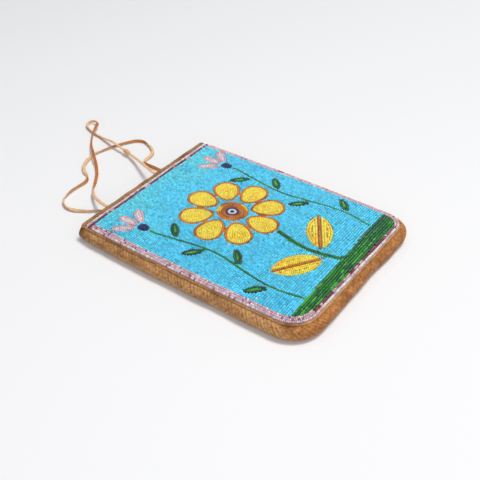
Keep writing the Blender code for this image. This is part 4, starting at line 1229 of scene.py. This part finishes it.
rowColours = {
    # For each row from the outside in, the mean length of a run of one colour, and the colours with
    # their shares; the last entry holds for all further rows. A single colour has its spread instead
    "leftBorder": [(1.0, {"pink": 5, "lilac": 2, "blush": 3, "mauve": 0.7, "white": 1.4}),
                   (1.0, {"pink": 4, "lilac": 4, "blush": 1.5, "mauve": 1.5, "white": 0.6}),
                   (1.0, {"pink": 5, "lilac": 3.5, "blush": 2, "mauve": 0.9, "white": 0.9})],
    "bottomBorder": [(1.6, {"blush": 4, "lilac": 2, "white": 6, "pink": 1.5}),
                     (2.6, {"maroon": 5, "pink": 3, "mauve": 2, "white": 0.8})],
    "rightBorder": [(1.5, {"pink": 5, "blush": 2, "lilac": 2, "mauve": 0.8})],
    "paleRow": [(1.6, {"blush": 4, "white": 4, "pink": 2, "lilac": 1})],
    "maroonRow": [(1.6, {"maroon": 6, "purple": 2, "pink": 1.5, "mauve": 2})],
    "petals": [(3.0, {"orange": 5, "rust": 1.5}), (3.0, {"yellow": 8, "amber": 1})],
    "blades": [(4.0, {"amber": 4, "yellow": 2}), (4.0, {"yellow": 5, "amber": 2})],
    "smallLeaves": [(3.0, {"leaf": 4, "darkLeaf": 2}), (3.0, {"lightGreen": 3, "green": 2})],
    "calyxes": [(0.12, "navy")],
    "buds": [(3.0, {"pink": 5, "lilac": 2}), (3.0, {"blush": 4, "white": 3})],
    "ring": [(3.0, {"orange": 5, "rust": 2, "amber": 1})],
    "core": [(0.07, "navy"), (0.07, "white"), (0.07, "navy")],
    "ribs": [(3.0, {"orange": 4, "rust": 2})],
    "stems": [(4.0, {"green": 4, "leaf": 2})],
    # The two ground entries, taken by turns, paint highlights along every other row
    "ground": [(2.5, {"green": 4, "lightGreen": 3, "leaf": 0.5}),
               (2.5, {"green": 5, "lightGreen": 0.3, "leaf": 3})],
}
growing = {("petals", "amber"): 0.5, ("ring", "rust"): 1}      # what a share gains with each row


def rowColour(name, row, count):
    entries = rowColours[name]
    run, shares = entries[min(row, len(entries) - 1)]
    if isinstance(shares, str):
        return varied(beadColours[shares], count, run)
    grown = [share + growing.get((name, colour), 0) * row for colour, share in shares.items()]
    return mixed([beadColours[colour] for colour in shares], grown, count, run)


sky = {
    "drift": ((0.5, 0.06, 7), (0.25, 0.012, 8)),    # noise that moves the change to turquoise
    "change": (0.055, 0.09),    # from which y the rows turn turquoise, and over what length
    "mostTurquoise": 0.75,
    "deep": (1.6, 0.045, 9),    # noise of the deeper blue
    "deepStart": 0.9,           # how strong it must be to show
    "deepRows": (0.35, 2.4),    # how much it changes from row to row, and how fast
    "mostDeep": 0.6,
    "spread": (0.14, -0.4, 0.3),
    "whiteShare": 0.0012,
}


def skyColour(points, row):
    # Sky beads: turquoise towards the mouth and in drifts, deeper blue in places, a rare white one
    c = beadColours
    start, length = sky["change"]
    drift = wavesOf(points, *sky["drift"]) + (points[:, 1] - start) / length
    share = np.clip(drift, 0, sky["mostTurquoise"])[:, None]
    colour = c["sky"] * (1 - share) + c["turquoise"] * share
    height, turn = sky["deepRows"]
    deep = wavesOf(points, sky["deep"]) - sky["deepStart"] + height * np.sin(row * turn)
    deep = sky["mostDeep"] * np.clip(deep, 0, 1)[:, None]
    colour = colour * (1 - deep) + c["deepSky"] * deep
    colour = colour * drawn(sky["spread"], (len(points), 1))
    colour[chance.random(len(points)) < sky["whiteShare"]] = c["white"]
    return colour


# Borders, and the rows at the mouth

def rowOn(path, colour, row):
    points, ahead = evenly(path, bead["spacing"])
    return points, ahead, rowColour(colour, row, len(points)), 1.0


def borderRows(first, last, rows, colour, wander=0.0):
    # Rows along the panel's edge between two places on it, from the outside in
    shift = wander * (1 + waves(edge, 0.030, 6))[:, None]
    return [rowOn(inset(edge, (row + 0.5) * panel["rowPitch"] + shift)[first:last], colour, row)
            for row in range(rows)]


def makeBorders():
    top = skyHigh.y + 0.0002
    lowest = int(np.argmin(edge[:, 1]))
    leftStart = int(np.argmax(edge[:, 1] < top))
    leftEnd = int(np.argmax((edge[:, 0] > bottomBorderLow.x) & (np.arange(len(edge)) > leftStart)))
    rightStart = int(np.argmax((edge[:, 0] > bottomBorderHigh.x) & (np.arange(len(edge)) > lowest)))
    rightEnd = len(edge) - int(np.argmax(edge[::-1, 1] < top))
    sew("beadsLeftBorder", "lilac_beads", ["border_left"],
        borderRows(leftStart, leftEnd, panel["leftRows"], "leftBorder"))
    sew("beadsBottomBorder", "pink_beads", ["border_bottom"],
        borderRows(leftEnd, rightStart, panel["otherRows"], "bottomBorder", 0.00035))
    sew("beadsRightBorder", "pink_beads", ["border_right"],
        borderRows(rightStart, rightEnd, panel["otherRows"], "rightBorder"))


def makeMouthRows():
    for name, node, slotName, colour in (
            ("beadsPaleRow", "mouth_row_pale", "blush_beads", "paleRow"),
            ("beadsMaroonRow", "mouth_row_maroon", "maroon_beads", "maroonRow")):
        low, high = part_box(node)
        y = (low.y + high.y) / 2
        path = np.array([(edge[0, 0] + panel["mouthInset"], y), (edge[-1, 0] - panel["mouthInset"], y)])
        sew(name, slotName, [node], [rowOn(path, colour, 0)])


makeBorders()
makeMouthRows()
print("border and mouth rows laid")


# Flower work: rows that follow the outline of each motif

def outlineOf(name, harmonics):
    # The hull of a node seen from above, smoothed by keeping its first harmonics
    ring = hullOf(name)
    path = np.vstack([ring, ring[:1]])
    run = runAlong(path)
    at = np.linspace(0, run[-1], 256, endpoint=False)
    wave = np.fft.fft(np.interp(at, run, path[:, 0]) + 1j * np.interp(at, run, path[:, 1]))
    wave[harmonics + 1:-harmonics] = 0
    smooth = np.fft.ifft(wave)
    return np.stack([smooth.real, smooth.imag], -1)


def insetRing(ring, depth):
    # A closed outline moved inwards, without the points that come closer than that to the outline
    moved = ring + leftOf(unit(np.roll(ring, -1, axis=0) - np.roll(ring, 1, axis=0))) * depth
    gap = np.linalg.norm(moved[:, None] - ring[None], axis=2).min(1)
    return moved[gap > depth * 0.985]


def contourRows(ring, colour):
    # Rows of beads from the outline inwards, as long as three beads fit round the row
    depths = np.arange(0.5, 12.0) * panel["rowPitch"] * motif["pitch"]
    paths = [path for path in (insetRing(ring, depth) for depth in depths) if len(path) > 2]
    rows = []
    for row, path in enumerate(paths):
        points, ahead = evenly(path, bead["spacing"], closed=True)
        if len(points) > 2:
            rows.append((points, ahead, rowColour(colour, row, len(points)), motif["size"]))
    return rows


def ringRows(centre, inner, outer, colour):
    # Round rows between two radii
    count = max(round((outer - inner) / panel["rowPitch"]), 1)
    size = min((outer - inner) / count / panel["rowPitch"], 1.0)
    rows = []
    for row in range(count):
        radius = outer - (row + 0.5) * (outer - inner) / count
        number = max(round(2 * math.pi * radius / bead["spacing"]), 3)
        turn = np.arange(number) * 2 * math.pi / number + row
        way = np.stack([np.cos(turn), np.sin(turn)], -1)
        rows.append((centre + way * radius, leftOf(way), rowColour(colour, row, number), size))
    return rows


def bandLine(name, degree):
    # The middle line of a stem: a polynomial through its points, along its long axis
    points = planPoints(name)
    middle = points.mean(0)
    long = np.linalg.svd(points - middle, full_matrices=False)[2][0]
    long = long * (1 if long[1] > 0 else -1)
    wide = np.array([-long[1], long[0]])
    along, across = (points - middle) @ long, (points - middle) @ wide
    curve = np.polynomial.Polynomial.fit(along, across, degree)
    at = np.linspace(along.min() + 0.0006, along.max() - 0.0006, 160)
    return middle + at[:, None] * long + curve(at)[:, None] * wide


def bandRows(line, rows, colour):
    # Rows side by side along a middle line
    return [rowOn(inset(line, (row - (rows - 1) / 2) * panel["rowPitch"]), colour, row)
            for row in range(rows)]


sides = ("left", "right")
motif = {"pitch": 0.97, "size": 0.98}       # of a motif's rows and beads, next to the fields' ones
motifs = {
    # piece: slot, nodes, harmonics of the outline, colours
    "beadsPetals": ("yellow_beads", [f"rosette_petal_{i}" for i in range(1, 9)], 3, "petals"),
    "beadsLeafBlades": ("yellow_beads", [f"leaf_{side}_{half}" for side in sides
                                         for half in ("upper", "lower")], 12, "blades"),
    "beadsSmallLeaves": ("leaf_beads", [f"small_leaf_{side}_{i}" for side in sides
                                        for i in range(1, 5)], 8, "smallLeaves"),
    "beadsCalyxes": ("navy_beads", [f"calyx_{side}" for side in sides], 3, "calyxes"),
    "beadsBuds": ("blush_beads", [f"bud_{side}_petal_{i}" for side in sides
                                  for i in range(1, 4)], 3, "buds"),
}
bands = {
    # piece: slot, (node, rows, degree of its middle line), colours
    "beadsLeafRibs": ("orange_beads", [("leaf_left_rib", 1, 1), ("leaf_right_rib", 1, 1)], "ribs"),
    "beadsStems": ("leaf_beads", [("main_stem", 2, 4), ("side_stem_left", 1, 9),
                                  ("side_stem_right", 1, 9)], "stems"),
}


def makeMotifs():
    for name, (slotName, members, harmonics, colour) in motifs.items():
        sew(name, slotName, members,
            sum((contourRows(outlineOf(node, harmonics), colour) for node in members), []))


def makeRosetteMiddle():
    low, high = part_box("rosette_ring")
    centre = np.array([(low.x + high.x) / 2, (low.y + high.y) / 2])
    outer = max(high.x - low.x, high.y - low.y) / 2
    coreLow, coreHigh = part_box("rosette_centre")
    core = max(coreHigh.x - coreLow.x, coreHigh.y - coreLow.y) / 2
    sew("beadsRing", "orange_beads", ["rosette_ring"], ringRows(centre, core, outer, "ring"))
    sew("beadsCentre", "navy_beads", ["rosette_centre"], ringRows(centre, 0.0, core, "core"))


def makeBands():
    for name, (slotName, members, colour) in bands.items():
        sew(name, slotName, [member[0] for member in members],
            sum((bandRows(bandLine(node, degree), count, colour) for node, count, degree in members), []))


makeMotifs()
makeRosetteMiddle()
makeBands()
print("flower rows laid")


# Straight rows of the sky and the ground, round the flower work

beadMap = {
    "lowX": -0.0940,
    "lowY": -0.1200,
    "step": 0.0002,
    "columns": 941,
    "rows": 1180,
    "reach": 13,            # cells on each side of a bead that it can block
    "margin": 0.0010,       # from the panel's edge to the middle of a bead
    "favour": 0.0007,       # how much farther a field's bead may be and still lend its colour
}


def panelCells():
    # True in the cells of the map that lie on the panel, between its edge's two sides
    foot = inset(edge, beadMap["margin"])
    lowest = int(np.argmin(foot[:, 1]))
    x = beadMap["lowX"] + np.arange(beadMap["columns"]) * beadMap["step"]
    y = beadMap["lowY"] + np.arange(beadMap["rows"]) * beadMap["step"]
    left = np.interp(y, foot[:lowest + 1, 1][::-1], foot[:lowest + 1, 0][::-1])
    right = np.interp(y, foot[lowest:, 1], foot[lowest:, 0])
    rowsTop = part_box("mouth_row_pale")[1].y - beadMap["margin"]
    inside = (x[None] > left[:, None]) & (x[None] < right[:, None])
    return inside & ((y > foot[lowest, 1]) & (y < rowsTop))[:, None]


def blockedCells(points, ahead, size, other):
    # True where the middle of another bead, lying along x, would press into these beads: in each
    # bead's own frame a box as large as both beads together, times the nesting
    m = beadMap
    steps = np.arange(-m["reach"], m["reach"] + 1)
    blocked = np.zeros((m["rows"], m["columns"]), bool)
    for part in np.array_split(np.arange(len(points)), max(len(points) // 1500, 1)):
        p, a = points[part], ahead[part]
        ix = np.round((p[:, 0] - m["lowX"]) / m["step"]).astype(int)[:, None, None] + steps[None, None, :]
        iy = np.round((p[:, 1] - m["lowY"]) / m["step"]).astype(int)[:, None, None] + steps[None, :, None]
        dx = m["lowX"] + ix * m["step"] - p[:, 0, None, None]
        dy = m["lowY"] + iy * m["step"] - p[:, 1, None, None]
        ax, ay, own = a[:, 0, None, None], a[:, 1, None, None], size[part][:, None, None]
        cos, sin = np.abs(ax), np.abs(ay)
        half, radius = bead["halfLength"] * 1.06, bead["radius"]
        reachAlong = bead["nesting"] * (half * own + other * (half * cos + radius * sin))
        reachAcross = bead["nesting"] * (radius * own + other * (half * sin + radius * cos))
        hit = (np.abs(dx * ax + dy * ay) < reachAlong) & (np.abs(dy * ax - dx * ay) < reachAcross)
        rowsHit = np.clip((iy + 0 * ix)[hit], 0, m["rows"] - 1)
        blocked[rowsHit, np.clip((ix + 0 * iy)[hit], 0, m["columns"] - 1)] = True
    return blocked


def straightRows(y0, slope, count, keep, colour):
    # Rows across the panel, each filled with evenly spaced beads between what it meets
    points, ahead, _, size = gathered(sum((work[2] for work in beadwork.values()), []))
    free = onPanel & ~blockedCells(points, ahead, size, 1.0)
    x = np.arange(-panel["halfWidth"], panel["halfWidth"], beadMap["step"])
    way = np.array([1.0, slope]) / math.hypot(1, slope)
    rows = []
    for row in range(count):
        start = y0 - (row + 0.5) * panel["rowPitch"]
        line = np.stack([x, start + slope * x], -1)
        cell = np.round((line - (beadMap["lowX"], beadMap["lowY"])) / beadMap["step"]).astype(int)
        cell = np.clip(cell, 0, (beadMap["columns"] - 1, beadMap["rows"] - 1))
        room = free[cell[:, 1], cell[:, 0]] & keep(line)
        turns = np.flatnonzero(np.diff(np.concatenate([[False], room, [False]]).astype(int)))
        for first, last in zip(turns[::2], turns[1::2]):
            low, high = x[first], x[last - 1]
            number = int((high - low) / bead["spacing"] + 1.12)
            at = np.linspace(low, high, number) if number > 1 else np.array([(low + high) / 2])
            placed = np.stack([at, start + slope * at], -1)
            rows.append((placed, np.tile(way, (len(at), 1)), colour(placed, row), 1.0))
    return rows


def groundColour(points, row):
    # Dark green with runs of a brighter green, bluer and darker towards the upper right
    # Painted highlights: rows are lighter and darker by turns, by row % 2
    colour = rowColour("ground", row % 2, len(points))
    share = np.clip(points[:, 0] / 0.08 - 0.30 * row + 0.5, 0, 1)[:, None] * 0.85
    return colour * (1 - share) + beadColours["leaf"] * share


def makeFields():
    slope = panel["groundRise"] / (2 * panel["halfWidth"])
    top = groundHigh.y - slope * groundHigh.x       # of the green strip, at x = 0
    groundRows = round((top - groundLow.y) / panel["rowPitch"]) + 2
    skyRows = round((skyHigh.y - skyLow.y) / panel["rowPitch"]) + 2
    sew("beadsGround", "ground_beads", ["ground_field"],
        straightRows(top, slope, groundRows, lambda p: p[:, 1] < top + slope * p[:, 0], groundColour))
    sew("beadsSky", "sky_beads", ["sky_field"],
        straightRows(skyHigh.y, 0.0, skyRows, lambda p: p[:, 1] > top + slope * p[:, 0], skyColour))


def fillGaps(size):
    # Single beads in the gaps that are left, each in the middle of its gap. A bead takes the colour,
    # the direction and the piece of the nearest bead, and beside the fields rather a field's
    names = list(beadwork)
    rows = [beadwork[name][2] for name in names]
    points, ahead, colours, sizes = gathered(sum(rows, []))
    owner = np.concatenate([np.full(sum(len(r[0]) for r in some), i) for i, some in enumerate(rows)])
    taken = ~onPanel | blockedCells(points, ahead, sizes, size)
    across = int(2 * size * bead["nesting"] * bead["halfLength"] / beadMap["step"])
    along = int(2 * size * bead["nesting"] * bead["radius"] / beadMap["step"])
    found = []
    place = 0
    flat = taken.ravel()
    while True:
        place += int(np.argmin(flat[place:]))
        if flat[place]:
            break
        row, column = divmod(place, beadMap["columns"])
        wide = int(np.argmax(taken[row, column:column + across])) or across
        column += wide // 2
        tall = int(np.argmax(taken[row:row + along, column])) or along
        row += tall // 2
        found.append((column, row))
        taken[max(row - along, 0):row + along + 1, column - across:column + across + 1] = True
    found = np.array(found, float).reshape(-1, 2) * beadMap["step"] + (beadMap["lowX"], beadMap["lowY"])
    inField = np.isin(owner, [names.index("beadsSky"), names.index("beadsGround")])
    favour = np.where(inField, 0, beadMap["favour"])
    nearest = np.concatenate([(np.linalg.norm(part[:, None] - points[None], axis=2) + favour).argmin(1)
                              for part in np.array_split(found, max(len(found) // 100, 1))])
    for number, name in enumerate(names):
        mine = owner[nearest] == number
        if mine.any():
            like = nearest[mine]
            beadwork[name][2].append((found[mine], ahead[like], colours[like], size))
    return len(found)


onPanel = panelCells()
makeFields()
print("beads that close gaps:", [fillGaps(size) for size in bead["fillers"]])
print("beads sewn:", sum(strungBeads(name, *work) for name, work in beadwork.items()))
